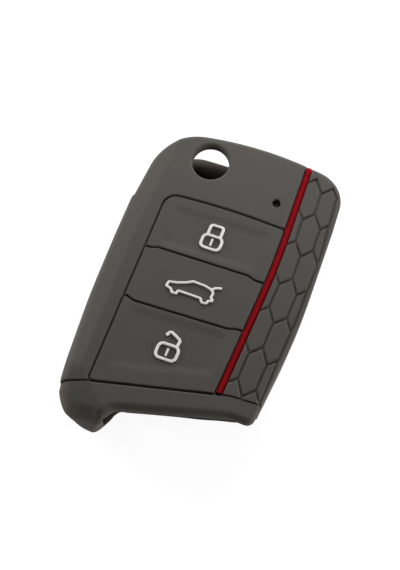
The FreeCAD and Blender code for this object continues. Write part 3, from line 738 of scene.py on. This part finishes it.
def draft(loop, height):
    """How far the walls draw in towards the back, which those of the heel and the toe don't."""
    x, y = loop[:, 0], loop[:, 1]
    upright = ease((-31 - y) / 3) * ease((-6 - x) / 3) * (0.5 + 0.5 * ease((x + 16) / 6))
    return DRAFT * (1 - upright) * np.clip((MOUTH_TOP - height) / MOUTH_TOP, 0, 1)


def wall_edges(loop):
    """Height of each wall's upper opening, and how much the edges above and below it are rounded."""
    x, y = loop[:, 0], loop[:, 1]
    foot = (y < -25) & (x > -9.2)
    upper = np.where(foot, MOUTH_TOP, SLOT_TOP)
    flank = ease((y - BLADE_SLOT_END + 0.2) / 0.6) * (x < -12)
    head = ease((y - STEP) / 0.5) * ease((HEAD_SLOT_SIDE + 0.4 - x) / 0.8)
    above = np.where(foot, 1, flank * (1 - ease((y - STEP) / 0.5)))
    below = np.maximum(flank * (y < STEP), head)
    return upper, above, below


def sleeve_body(front):
    """The whole outside of the sleeve, with blind pockets where the front is open."""
    plan, ring, pockets = front.plan()
    loops = [rim.loop for rim in front.rims]
    body, where = skin(plan, lambda spots: between(spots, front.loop, loops), front.surface)
    for pocket, loop in zip(pockets, loops):
        floor = body.add([(x, y, POCKET) for x, y in loop])
        body.strip(floor, [where[index] for index in pocket])
        body.cap(floor)
    rows = [[where[index] for index in ring]]
    loop, out = front.loop, front.away
    upper, above, below = wall_edges(loop)
    upper = np.minimum(upper, front.surface(loop)[:, 2] - LIP_ROLL - 0.2)
    spread = CROWN_SPREAD * ease((loop[:, 1] - 16) / 4) * ease((1 - loop[:, 0]) / 10)
    back = loop + out * spread[:, None]
    over = back[:, 1] - BACK_CROWN
    back[:, 1] -= (over + np.sqrt(over ** 2 + 0.09)) / 2
    near = (np.abs(back[:, 1] - STEP) < 3) & (back[:, 0] < 0)
    first, last = back[near][0], back[near][-1]
    back[near, 0] = np.interp(back[near, 1], [last[1], first[1]], [last[0], first[0]])
    swell = front.proud(loop)
    sunk = 1.5 * front.grooves[0].depth(loop)
    levels = [(upper + LIP_ROLL * share, 1) for share in (1, 0.6, 0.3, 0.12, 0.03)]
    levels += [(upper - 0.3, 1), ((upper + LOWER_LIP) / 2, 0), (LOWER_LIP + 0.3 + 0 * upper, -1)]
    levels += [(LOWER_LIP - LIP_ROLL * share + 0 * upper, -1) for share in (0.03, 0.12, 0.3, 0.6, 1)]
    levels += [(BACK_ROLL + 1 + 0 * upper, -2)]
    for height, side in levels:
        inset = above * under(height, upper) if side > 0 else 0
        if side == -1:
            inset = below * under(2 * LOWER_LIP - height, LOWER_LIP)
        inset = inset + draft(loop, height)
        grooved = sunk * ease((height - LOWER_LIP) / 0.8) - swell * ease((height - BACK_ROLL) / 4)
        row = back if side < 0 else loop
        rows.append(body.add(np.column_stack([row - out * np.reshape(inset + grooved, (-1, 1)), height])))
    for turn in (0, 18, 36, 54, 72, 90):
        angle = math.radians(turn)
        height = BACK_ROLL * (1 - math.sin(angle))
        inset = BACK_ROLL * (1 - math.cos(angle)) * 0.8 + draft(loop, height)
        line = back - out * inset[:, None]
        rows.append(body.add([(x, y, height) for x, y in line]))
    for higher, lower in zip(rows, rows[1:]):
        body.strip(higher, lower)
    body.cap(rows[-1])
    return body.make("sleeve_outside")


def lip_y(x):
    """The straight lip at the foot, between two corners of the outline."""
    (left, low), (right, high) = OUTLINE[8][:2], OUTLINE[9][:2]
    return low + (x - left) * (high - low) / (right - left)


def sleeve_cutters(front):
    """The key's space and every opening into it."""
    plain = rounded([*OUTLINE[:2], (-23.9, 15.9, 40), *OUTLINE[4:]], 0.6)
    loop = moved(plain, -SIDE_WALL)
    _, _, below = wall_edges(plain)
    use = loop[:, 1] > TOE_INSIDE
    inner, out, edge = loop[use], normals(plain)[use], below[use]
    crown = ease((inner[:, 1] - 22) / 6) * edge
    flare = 0.9 * edge + 1.3 * crown
    low_inner = inner - out * crown[:, None]
    rows = [(low_inner, FLOOR)]
    for turn in (0, 18, 36, 54, 72, 90):
        angle = math.radians(turn)
        spread = flare * (1 - math.cos(angle))
        rows.append((low_inner + out * spread[:, None], LOWER_LIP - flare * (1 - math.sin(angle)) - 0.01))
    rows += [(inner, LOWER_LIP + 0.4), (inner, CEILING)]
    far, low = 31.7, -45
    mouth = [(MOUTH_LEFT, low), (MOUTH_RIGHT, low), (MOUTH_RIGHT, FLANK_END), (16, lip_y(16) + LIP_DEPTH)]
    mouth += [(-5, lip_y(-5) + LIP_DEPTH), *TOE_WALL[::-1]]
    front_foot = [(-10.6, low), *curved(FRONT_FOOT), (far, low)]
    back_foot = [(-13.3, low), *curved(BACK_FOOT), (far, low)]
    return [
        prism("key_space", rows),
        block("blade_slot", (-far, BLADE_SLOT_SIDE), (BLADE_SLOT_END, STEP), (LOWER_LIP, SLOT_TOP)),
        block("head_slot", (-far, HEAD_SLOT_SIDE), (STEP, -low), (LOWER_LIP, HEAD_TOP)),
        prism("mouth", [(mouth, FLOOR + 0.3), (mouth, MOUTH_TOP)]),
        prism("foot_slope", [(back_foot, -1), (back_foot, 0), (front_foot, MOUTH_TOP)]),
    ]


# Buttons

def cut_across(loop, divider, above):
    """The part of a loop above or below a divider line that crosses it from left to right."""
    line = np.array(divider)
    side = loop[:, 1] - np.interp(loop[:, 0], line[:, 0], line[:, 1])
    keep = side > 0 if above else side < 0
    first = next(i for i in range(len(loop)) if keep[i] and not keep[i - 1])
    order = [(first + i) % len(loop) for i in range(len(loop))]
    kept = [loop[i] for i in order if keep[i]]
    ends = []
    after = loop[(order[keep.sum() - 1] + 1) % len(loop)]
    for inner, outer in ((kept[-1], after), (kept[0], loop[first - 1])):
        a, b = (p[1] - np.interp(p[0], line[:, 0], line[:, 1]) for p in (inner, outer))
        ends.append(inner + (outer - inner) * a / (a - b))
    low, high = sorted((ends[0][0], ends[1][0]))
    middle = [point for point in line if low + 0.05 < point[0] < high - 0.05]
    run = [np.array([x, np.interp(x, line[:, 0], line[:, 1])]) for x, _ in middle]
    if ends[0][0] > ends[1][0]:
        run = run[::-1]
    return np.array(kept + [ends[0]] + run + [ends[1]])


def shifted(divider, rise):
    return [(x, y + rise) for x, y in divider]


def softened(loop, step=0.2, rounds=2):
    """A loop with its corners eased and its points evenly spread."""
    loop = divided(loop, step, True)
    for _ in range(rounds):
        loop = (np.roll(loop, 1, 0) + 2 * loop + np.roll(loop, -1, 0)) / 4
    return loop


def pad_loops(groove):
    half = groove / 2
    core = moved(rounded(FIELD, 0.3), -half)
    core[:, 0] += 0.3 * ease((core[:, 0] - 9) / 3)
    lock = cut_across(core, shifted(UPPER_DIVIDER, half), True)
    unlock = cut_across(core, shifted(LOWER_DIVIDER, -half), False)
    trunk = cut_across(core, shifted(UPPER_DIVIDER, -half), False)
    trunk = cut_across(trunk, shifted(LOWER_DIVIDER, half), True)
    return {"lock_pad": softened(lock), "trunk_pad": softened(trunk), "unlock_pad": softened(unlock)}


def pad_body(name, loop, edge, dish, dish_depth):
    """A button pad with rolled edges and, on the outer two, a shallow dish."""
    starts, ends = pieces_of(loop, True)
    hollow = rounded(dish, 0.4) if dish else None

    def surface(points):
        distance = nearest(points, starts, ends)[0]
        drop = edge * quarter(distance / edge)
        if hollow is not None:
            reach = nearest(points, *pieces_of(hollow, True))[0]
            reach = np.where(inside(points, hollow), reach, -reach)
            drop = drop + dish_depth * ease((reach + 0.9) / 2.4)
        return np.column_stack([points, TOP - drop])

    def clear(points):
        return inside(points, loop) & (nearest(points, starts, ends)[0] > 0.01)

    plan = Plan()
    ring = plan.loop(loop)
    for turn in (20, 40, 60, 80, 90, 98):
        inset = edge * (1 - math.cos(math.radians(min(turn, 90)))) + max(0, turn - 90) * 0.015
        line = returned(moved(loop, -inset))
        right = nearest(line, starts, ends)[0] > inset * 0.97
        plan.line(line, clear(line) & right, np.ones(len(line), bool))
    if hollow is not None:
        for reach in (-0.9, -0.6, -0.3, 0, 0.3, 0.6, 0.9, 1.2, 1.5):
            line = returned(moved(hollow, -reach))
            plan.line(line, clear(line), np.ones(len(line), bool))
    plan.fill(loop.min(0), loop.max(0), 1.6, clear)
    body, where = skin(plan, lambda spots: inside(spots, loop), surface)
    top = [where[index] for index in ring]
    foot = body.add([(x, y, CEILING) for x, y in loop])
    body.strip(top, foot)
    body.cap(foot)
    return body.make(name)


def web_body(groove, clearance):
    """The thin floor of the button grooves, with an opening for each pad."""
    outer = moved(rounded(FIELD, 0.5), groove / 2 - 0.01)
    holes = [moved(loop, clearance) for loop in pad_loops(groove).values()]
    plan = Plan()
    rings = [plan.loop(loop) for loop in (outer, *holes)]
    flat, faces, source = triangles(plan.points, plan.edges, lambda spots: between(spots, outer, holes))
    body = Builder()
    where = {origin: index for index, origin in enumerate(source) if origin >= 0}
    levels = [body.add([(x, y, height) for x, y in flat]) for height in (WEB_TOP, CEILING)]
    for places, turn in zip(levels, (1, -1)):
        body.faces.extend(tuple(places[corner] for corner in face[::turn]) for face in faces)
    for ring in rings:
        body.strip(*([places[where[index]] for index in ring] for places in levels))
    return body.make("web")


# Nodes

def adder(tree):
    """A function that adds a node to a tree, with its settings and the values of its inputs."""
    def add(kind, inputs=(), **settings):
        node = tree.nodes.new(kind)
        for name, value in settings.items():
            setattr(node, name, value)
        for name, value in dict(inputs).items():
            node.inputs[name].default_value = value
        return node
    return add


def linked(tree, *ways):
    """Links in a tree, each given as a node, its output, the next node and its input."""
    for start, output, end, entry in ways:
        tree.links.new(start.outputs[output], end.inputs[entry])


# Lines laid on the pads and in the stripe's channel

def stroke_tree():
    """Geometry nodes that lay a rounded bead of one section along every line of a drawing."""
    tree = bpy.data.node_groups.new("laid_bead", "GeometryNodeTree")
    face = tree.interface
    face.new_socket("Geometry", in_out="INPUT", socket_type="NodeSocketGeometry")
    for name, default in (("Width", 0.0008), ("Height", 0.00035), ("Edge", 0.00012), ("Bend", 0.0005),
                          ("Step", 0.0003)):
        socket = face.new_socket(name, in_out="INPUT", socket_type="NodeSocketFloat")
        socket.subtype = "DISTANCE"
        socket.default_value = default
    face.new_socket("Material", in_out="INPUT", socket_type="NodeSocketMaterial")
    face.new_socket("Geometry", in_out="OUTPUT", socket_type="NodeSocketGeometry")
    add = adder(tree)
    given, result = add("NodeGroupInput"), add("NodeGroupOutput")
    bend = add("GeometryNodeFilletCurve", {"Count": 6, "Limit Radius": True}, mode="POLY")
    spread = add("GeometryNodeResampleCurve", mode="LENGTH")
    level = add("GeometryNodeSetCurveNormal", mode="Z_UP")
    section = add("GeometryNodeCurvePrimitiveQuadrilateral")
    soft = add("GeometryNodeFilletCurve", {"Count": 4, "Limit Radius": True}, mode="POLY")
    bead = add("GeometryNodeCurveToMesh", {"Fill Caps": True})
    joined = add("GeometryNodeMeshBoolean", {"Self Intersection": True}, operation="UNION", solver="EXACT")
    real, paint = add("GeometryNodeRealizeInstances"), add("GeometryNodeSetMaterial")
    linked(
        tree,
        (given, "Geometry", bend, "Curve"), (given, "Bend", bend, "Radius"),
        (bend, "Curve", spread, "Curve"), (given, "Step", spread, "Length"),
        (spread, "Curve", level, "Curve"),
        (given, "Width", section, "Width"), (given, "Height", section, "Height"),
        (section, "Curve", soft, "Curve"), (given, "Edge", soft, "Radius"),
        (level, "Curve", bead, "Curve"), (soft, "Curve", bead, "Profile Curve"),
        (bead, "Mesh", joined, "Mesh 2"), (joined, "Mesh", real, "Geometry"),
        (real, "Geometry", paint, "Geometry"), (given, "Material", paint, "Material"),
        (paint, "Geometry", result, "Geometry"),
    )
    return tree


def laid(name, lines, material, **sizes):
    """A mesh of beads along lines given as (points, closed) in millimetres."""
    drawing = bpy.data.curves.new(name, "CURVE")
    drawing.dimensions = "3D"
    for points, closed in lines:
        spline = drawing.splines.new("POLY")
        spline.points.add(len(points) - 1)
        for place, point in zip(spline.points, points):
            place.co = (*(value * MM for value in point), 1)
        spline.use_cyclic_u = closed
    item = bpy.data.objects.new(name, drawing)
    bpy.context.scene.collection.objects.link(item)
    tree = bpy.data.node_groups.get("laid_bead") or stroke_tree()
    step = item.modifiers.new("bead", "NODES")
    step.node_group = tree
    for socket in tree.interface.items_tree:
        if socket.in_out == "INPUT" and socket.name in sizes:
            step[socket.identifier] = sizes[socket.name]
        elif socket.in_out == "INPUT" and socket.name == "Material":
            step[socket.identifier] = material
    bpy.context.view_layer.update()
    mesh = bpy.data.meshes.new_from_object(item.evaluated_get(bpy.context.evaluated_depsgraph_get()))
    bpy.data.objects.remove(item)
    bpy.data.curves.remove(drawing)
    if not mesh.polygons:
        raise RuntimeError(f"{name} came out empty")
    return finished(mesh, name)


def lock_lines(x, y, level, swing=None):
    """A padlock's body and its bow, closed, or swung open about its right foot."""
    width, height, bow, rise, line = 5.3, 4.1, 3.1, 2.8, 0.65
    half_w, half_h = (width - line) / 2, (height - line) / 2
    body = [(x + side * half_w, y + up * half_h) for side, up in ((-1, -1), (1, -1), (1, 1), (-1, 1))]
    left, foot = x - bow / 2, y + half_h
    if swing is None:
        arch = [(left, foot), (left, foot + rise), (left + bow, foot + rise), (left + bow, foot)]
    else:
        across, up = math.cos(math.radians(swing)), math.sin(math.radians(swing))
        free, leg = foot + rise * 0.68, rise * 0.47
        crest = (left + leg * up, free + leg * across)
        arch = [(left, free), crest, (crest[0] + bow * across, crest[1] - bow * up), (left + bow, foot)]
    body = rounded([(*p, 1.15) for p in body], 0.25)
    arch = rounded([arch[0], (*arch[1], 0.6), (*arch[2], 0.6), arch[3]], 0.25, closed=False)
    return [([(*p, level) for p in body], True), ([(*p, level) for p in arch], False)]


def car_lines(x, y, level):
    """A car seen from its side with its boot open, its wheels as bows in its lower line."""
    body = [
        (-5.74, -1.26), (-5.5, -0.1), (-3.6, 0.32), (-1.8, 0.98), (-0.4, 1.8), (2.4, 1.7), (4.1, 1.3),
        (4.85, 0.62), (4.66, -0.6), (5.5, -1.25), (4.4, -1.6), (4.15, -2.4), (3.1, -2.4), (2.65, -1.55),
        (-2.8, -1.5), (-2.85, -2.3), (-3.9, -2.4), (-4.45, -1.55),
    ]
    gate = [(4.29, 1.34), (4.91, 1.96), (6.3, 2.36)]
    lines = ((body[::-1], True), (gate, False))
    return [([(x + u, y + v, level) for u, v in line], closed) for line, closed in lines]


def keyhole_lines(x, y, level):
    """The short bar of a padlock's keyhole."""
    half = 0.9
    return [([(x, y - half, level), (x, y + half, level)], False)]


# Materials

def moulded_grain():
    """Fine grain of a moulded silicone skin, with faint clouds, and a painted warm shade: a browner tone
    lower down, on the shaded walls and inside.
    """
    tree = bpy.data.node_groups.get("moulded_grain")
    if tree:
        return tree
    tree = bpy.data.node_groups.new("moulded_grain", "ShaderNodeTree")
    for name, kind, default in (
        ("Color", "NodeSocketColor", (0.1, 0.1, 0.1, 1)), ("Roughness", "NodeSocketFloat", 0.6),
        ("Clouding", "NodeSocketFloat", 0.06), ("Grain size", "NodeSocketFloat", 6000.0),
    ):
        socket = tree.interface.new_socket(name, in_out="INPUT", socket_type=kind)
        socket.default_value = default
    for name, kind in (("Color", "Color"), ("Roughness", "Float"), ("Height", "Float")):
        tree.interface.new_socket(name, in_out="OUTPUT", socket_type="NodeSocket" + kind)
    add = adder(tree)
    given, result, place = add("NodeGroupInput"), add("NodeGroupOutput"), add("ShaderNodeTexCoord")
    grain = add("ShaderNodeTexNoise", {"Detail": 3})
    cloud = add("ShaderNodeTexNoise", {"Scale": 140, "Detail": 2})
    centred = add("ShaderNodeMath", {1: 0.5}, operation="SUBTRACT")
    swing = add("ShaderNodeMath", {2: 1.0}, operation="MULTIPLY_ADD")
    tone = add("ShaderNodeVectorMath", operation="SCALE")
    height = add("ShaderNodeSeparateXYZ")
    # Painted warm shade: from 14.3 mm down to 12.5 mm the colour turns browner, standing in for warm light in
    # the shaded walls and inside.
    depth = add("ShaderNodeMapRange", {"From Min": 0.0143, "From Max": 0.0125})
    painted_shade_tint = add("ShaderNodeMix", {7: (1.08, 0.97, 0.88, 1)}, data_type="RGBA", blend_type="MULTIPLY")
    rough = add("ShaderNodeMath", {1: 0.12}, operation="MULTIPLY_ADD")
    linked(
        tree,
        (place, "Object", grain, "Vector"), (place, "Object", cloud, "Vector"), (place, "Object", height, 0),
        (given, "Grain size", grain, "Scale"), (grain, "Fac", result, "Height"),
        (cloud, "Fac", centred, 0), (centred, 0, swing, 0), (given, "Clouding", swing, 1),
        (given, "Color", tone, 0), (swing, 0, tone, "Scale"), (tone, 0, painted_shade_tint, 6),
        (height, "Z", depth, "Value"), (depth, "Result", painted_shade_tint, 0), (painted_shade_tint, 2, result, "Color"),
        (centred, 0, rough, 0), (given, "Roughness", rough, 2), (rough, 0, result, "Roughness"),
    )
    return tree


def silicone(name, color, roughness, clouding, specular, bump):
    """A matte silicone with its own colour, set by the shared grain, which also paints a browner warm shade
    lower down.
    """
    material = bpy.data.materials.get(name) or bpy.data.materials.new(name)
    material.use_nodes = True
    tree = material.node_tree
    if "grain" in tree.nodes:
        return material
    shader = tree.nodes["Principled BSDF"]
    shader.inputs["Specular IOR Level"].default_value = specular
    add = adder(tree)
    # The shared grain group also paints a browner warm shade on the lower parts.
    grain = add("ShaderNodeGroup", name="grain", node_tree=moulded_grain())
    for entry, value in (("Color", (*color, 1)), ("Roughness", roughness), ("Clouding", clouding)):
        grain.inputs[entry].default_value = value
    relief = add("ShaderNodeBump", {"Strength": bump, "Distance": 0.00004})
    linked(
        tree,
        (grain, "Color", shader, "Base Color"), (grain, "Roughness", shader, "Roughness"),
        (grain, "Height", relief, "Height"), (relief, "Normal", shader, "Normal"),
    )
    material.diffuse_color = (*color, 1)
    return material


def grey_silicone(finish):
    return silicone("silicone", finish.silicone, finish.roughness, 0.06, 0.12, 0.2)


def red_silicone(finish):
    return silicone("red_silicone", finish.stripe, finish.roughness - 0.1, 0.05, 0.0, 0.15)


def white_silicone(finish):
    return silicone("white_silicone", finish.symbols, finish.roughness, 0.05, 0.2, 0.15)


def dress(item, body, slot, material, *nodes):
    item.data.materials.clear()
    item.data.materials.append(material)
    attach(item, body)
    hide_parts(*nodes)


# Operators

class KEYCOVER_OT_sleeve(bpy.types.Operator):
    """Makes the grey sleeve with its grooves, honeycomb and openings"""
    bl_idname = "key_cover.sleeve"
    bl_label = "Sleeve"

    def execute(self, context):
        front = Front(context.scene.cover_sizes)
        item = carve(sleeve_body(front), sleeve_cutters(front))
        item.name = "sleeve_moulding"
        dress(item, "sleeve", "silicone", grey_silicone(context.scene.cover_finish), "sleeve")
        return {"FINISHED"}


class KEYCOVER_OT_web(bpy.types.Operator):
    """Makes the thin web at the bottom of the button grooves"""
    bl_idname = "key_cover.web"
    bl_label = "Button web"

    def execute(self, context):
        item = web_body(context.scene.cover_sizes.groove_width / MM, WEB_GAP)
        item.name = "groove_web"
        dress(item, "sleeve", "silicone", grey_silicone(context.scene.cover_finish), "button_web")
        return {"FINISHED"}


class KEYCOVER_OT_pads(bpy.types.Operator):
    """Makes the three button pads"""
    bl_idname = "key_cover.pads"
    bl_label = "Button pads"

    def execute(self, context):
        sizes = context.scene.cover_sizes
        dishes = {"lock_pad": LOCK_DISH, "trunk_pad": None, "unlock_pad": UNLOCK_DISH}
        for node, loop in pad_loops(sizes.groove_width / MM).items():
            item = pad_body(node + "_skin", loop, sizes.pad_edge / MM, dishes[node], sizes.dish_depth / MM)
            body = node.replace("pad", "button")
            dress(item, body, "silicone", grey_silicone(context.scene.cover_finish), node)
        return {"FINISHED"}


class KEYCOVER_OT_stripe(bpy.types.Operator):
    """Lays the red stripe in its channel"""
    bl_idname = "key_cover.stripe"
    bl_label = "Red stripe"

    def execute(self, context):
        sizes = context.scene.cover_sizes
        front = Front(sizes)
        line = stripe_line(0.4)
        line = line[inside(line, front.loop)]
        line[0] -= 0.2 * unit(line[1] - line[0])
        height, facing = front.base(line)
        sunk = (TOP - STRIPE_TOP) * (1 - ease((line[:, 1] - 34) / 3)) + STRIPE_DEPTH / 2
        middle = np.column_stack([line, height]) - facing * sunk[:, None]
        paint = red_silicone(context.scene.cover_finish)
        item = laid("red_inlay", [(middle, False)], paint, Width=sizes.stripe_width,
                    Height=STRIPE_DEPTH * MM, Edge=0.00048, Bend=0.0, Step=0.0004)
        dress(item, "sleeve", "red_silicone", paint, "red_stripe")
        return {"FINISHED"}


class KEYCOVER_OT_symbols(bpy.types.Operator):
    """Lays the padlocks and the car on their pads"""
    bl_idname = "key_cover.symbols"
    bl_label = "Button symbols"

    def execute(self, context):
        sizes = context.scene.cover_sizes
        paint = white_silicone(context.scene.cover_finish)
        bead = {"Height": sizes.symbol_height, "Edge": 0.00014}
        dish = TOP - sizes.dish_depth / MM + sizes.symbol_height / MM / 2
        plain = TOP + sizes.symbol_height / MM / 2
        drawings = {
            "lock_icon": (lock_lines(*LOCK_AT, dish), 0.0),
            "unlock_icon": (lock_lines(*UNLOCK_AT, dish, BOW_SWING), 0.0),
            "trunk_icon": (car_lines(*CAR_AT, plain), 0.0002),
            "lock_keyhole": (keyhole_lines(*LOCK_AT, dish), 0.0),
            "unlock_keyhole": (keyhole_lines(UNLOCK_AT[0], UNLOCK_AT[1] - 0.05, dish), 0.0),
        }
        thin = {"lock_keyhole": 0.7, "unlock_keyhole": 0.7, "trunk_icon": 0.85}
        for node, (lines, bend) in drawings.items():
            bead["Width"] = sizes.symbol_stroke * thin.get(node, 1)
            item = laid(node + "_bead", lines, paint, Bend=bend, Step=0.00025, **bead)
            body = node.split("_")[0] + "_button"
            dress(item, body, "white_silicone", paint, node)
        return {"FINISHED"}


class KEYCOVER_OT_stage(bpy.types.Operator):
    """Sets the floor, the light and the camera"""
    bl_idname = "key_cover.stage"
    bl_label = "Stage"

    def execute(self, context):
        stage = context.scene.cover_stage
        context.scene.view_settings.view_transform = "Standard"
        self.camera(context.scene, stage)
        self.floor(context.scene)
        self.light(context.scene, stage)
        return {"FINISHED"}

    def camera(self, scene, stage):
        lens = bpy.data.cameras.new("camera")
        lens.lens = stage.lens
        lens.sensor_width = 36
        lens.clip_start = 0.005
        camera = bpy.data.objects.new("camera", lens)
        camera.location = stage.camera
        look = Vector(stage.target) - Vector(stage.camera)
        camera.rotation_euler = look.to_track_quat("-Z", "Y").to_euler()
        scene.collection.objects.link(camera)
        scene.camera = camera

    def floor(self, scene):
        mesh = bpy.data.meshes.new("floor")
        mesh.from_pydata([(-2, -2, 0), (2, -2, 0), (2, 2, 0), (-2, 2, 0)], [], [(0, 1, 2, 3)])
        floor = bpy.data.objects.new("floor", mesh)
        floor.location.z = -0.0001
        scene.collection.objects.link(floor)
        paper = bpy.data.materials.new("white_paper")
        paper.use_nodes = True
        tree = paper.node_tree
        shader = tree.nodes["Principled BSDF"]
        shader.inputs["Base Color"].default_value = (0.25, 0.25, 0.25, 1)
        shader.inputs["Roughness"].default_value = 0.9
        shader.inputs["Specular IOR Level"].default_value = 0.0
        add = adder(tree)
        rays, glow, both = (add("ShaderNode" + kind) for kind in ("LightPath", "Emission", "AddShader"))
        seen, shown = (add("ShaderNodeMath", operation="MAXIMUM") for _ in range(2))
        strength = add("ShaderNodeMath", {1: 0.9}, operation="MULTIPLY")
        linked(
            tree,
            (rays, "Is Camera Ray", seen, 0), (rays, "Is Glossy Ray", seen, 1),
            (seen, 0, shown, 0), (rays, "Is Transmission Ray", shown, 1),
            (shown, 0, strength, 0), (strength, 0, glow, "Strength"),
            (shader, 0, both, 0), (glow, 0, both, 1), (both, 0, tree.nodes["Material Output"], "Surface"),
        )
        mesh.materials.append(paper)

    def light(self, scene, stage):
        world = bpy.data.worlds.new("studio")
        world.use_nodes = True
        tree = world.node_tree
        sky = tree.nodes["Background"]
        sky.inputs["Color"].default_value = (1, 1, 1, 1)
        add = adder(tree)
        rays = add("ShaderNodeLightPath")
        seen = add("ShaderNodeMath", {1: stage.daylight}, operation="MAXIMUM")
        linked(tree, (rays, "Is Camera Ray", seen, 0), (seen, 0, sky, "Strength"))
        scene.world = world
        for name, (place, size) in LAMPS.items():
            self.softbox(scene, name, place, size, getattr(stage, name))

    def softbox(self, scene, name, place, size, power):
        lamp = bpy.data.lights.new(name, "AREA")
        lamp.shape = "SQUARE"
        lamp.size = size
        lamp.energy = power
        item = bpy.data.objects.new(name, lamp)
        item.location = place
        item.rotation_euler = (Vector((0, 0, 0.01)) - item.location).to_track_quat("-Z", "Y").to_euler()
        scene.collection.objects.link(item)


class KEYCOVER_PT_panel(bpy.types.Panel):
    """Lists the pieces of the cover and what can be changed on them"""
    bl_label = "Key fob cover"
    bl_idname = "KEYCOVER_PT_panel"
    bl_space_type = "VIEW_3D"
    bl_region_type = "UI"
    bl_category = "Key cover"

    def draw(self, context):
        layout = self.layout
        for operator in OPERATORS:
            layout.operator(operator.bl_idname)
        for group in (context.scene.cover_sizes, context.scene.cover_finish, context.scene.cover_stage):
            box = layout.box()
            for name in group.__annotations__:
                box.prop(group, name)


OPERATORS = (
    KEYCOVER_OT_sleeve, KEYCOVER_OT_web, KEYCOVER_OT_pads, KEYCOVER_OT_stripe, KEYCOVER_OT_symbols,
    KEYCOVER_OT_stage,
)
GROUPS = {"cover_sizes": CoverSizes, "cover_finish": CoverFinish, "cover_stage": CoverStage}


def register():
    for kind in (*GROUPS.values(), *OPERATORS, KEYCOVER_PT_panel):
        bpy.utils.register_class(kind)
    for name, kind in GROUPS.items():
        setattr(bpy.types.Scene, name, bpy.props.PointerProperty(type=kind))


def unregister():
    for name in GROUPS:
        delattr(bpy.types.Scene, name)
    for kind in (KEYCOVER_PT_panel, *reversed(OPERATORS), *reversed(list(GROUPS.values()))):
        bpy.utils.unregister_class(kind)


def main():
    register()
    bpy.ops.key_cover.sleeve()
    bpy.ops.key_cover.web()
    bpy.ops.key_cover.pads()
    bpy.ops.key_cover.stripe()
    bpy.ops.key_cover.symbols()
    bpy.ops.key_cover.stage()
    bpy.context.view_layer.update()


if __name__ == "__main__":
    main()
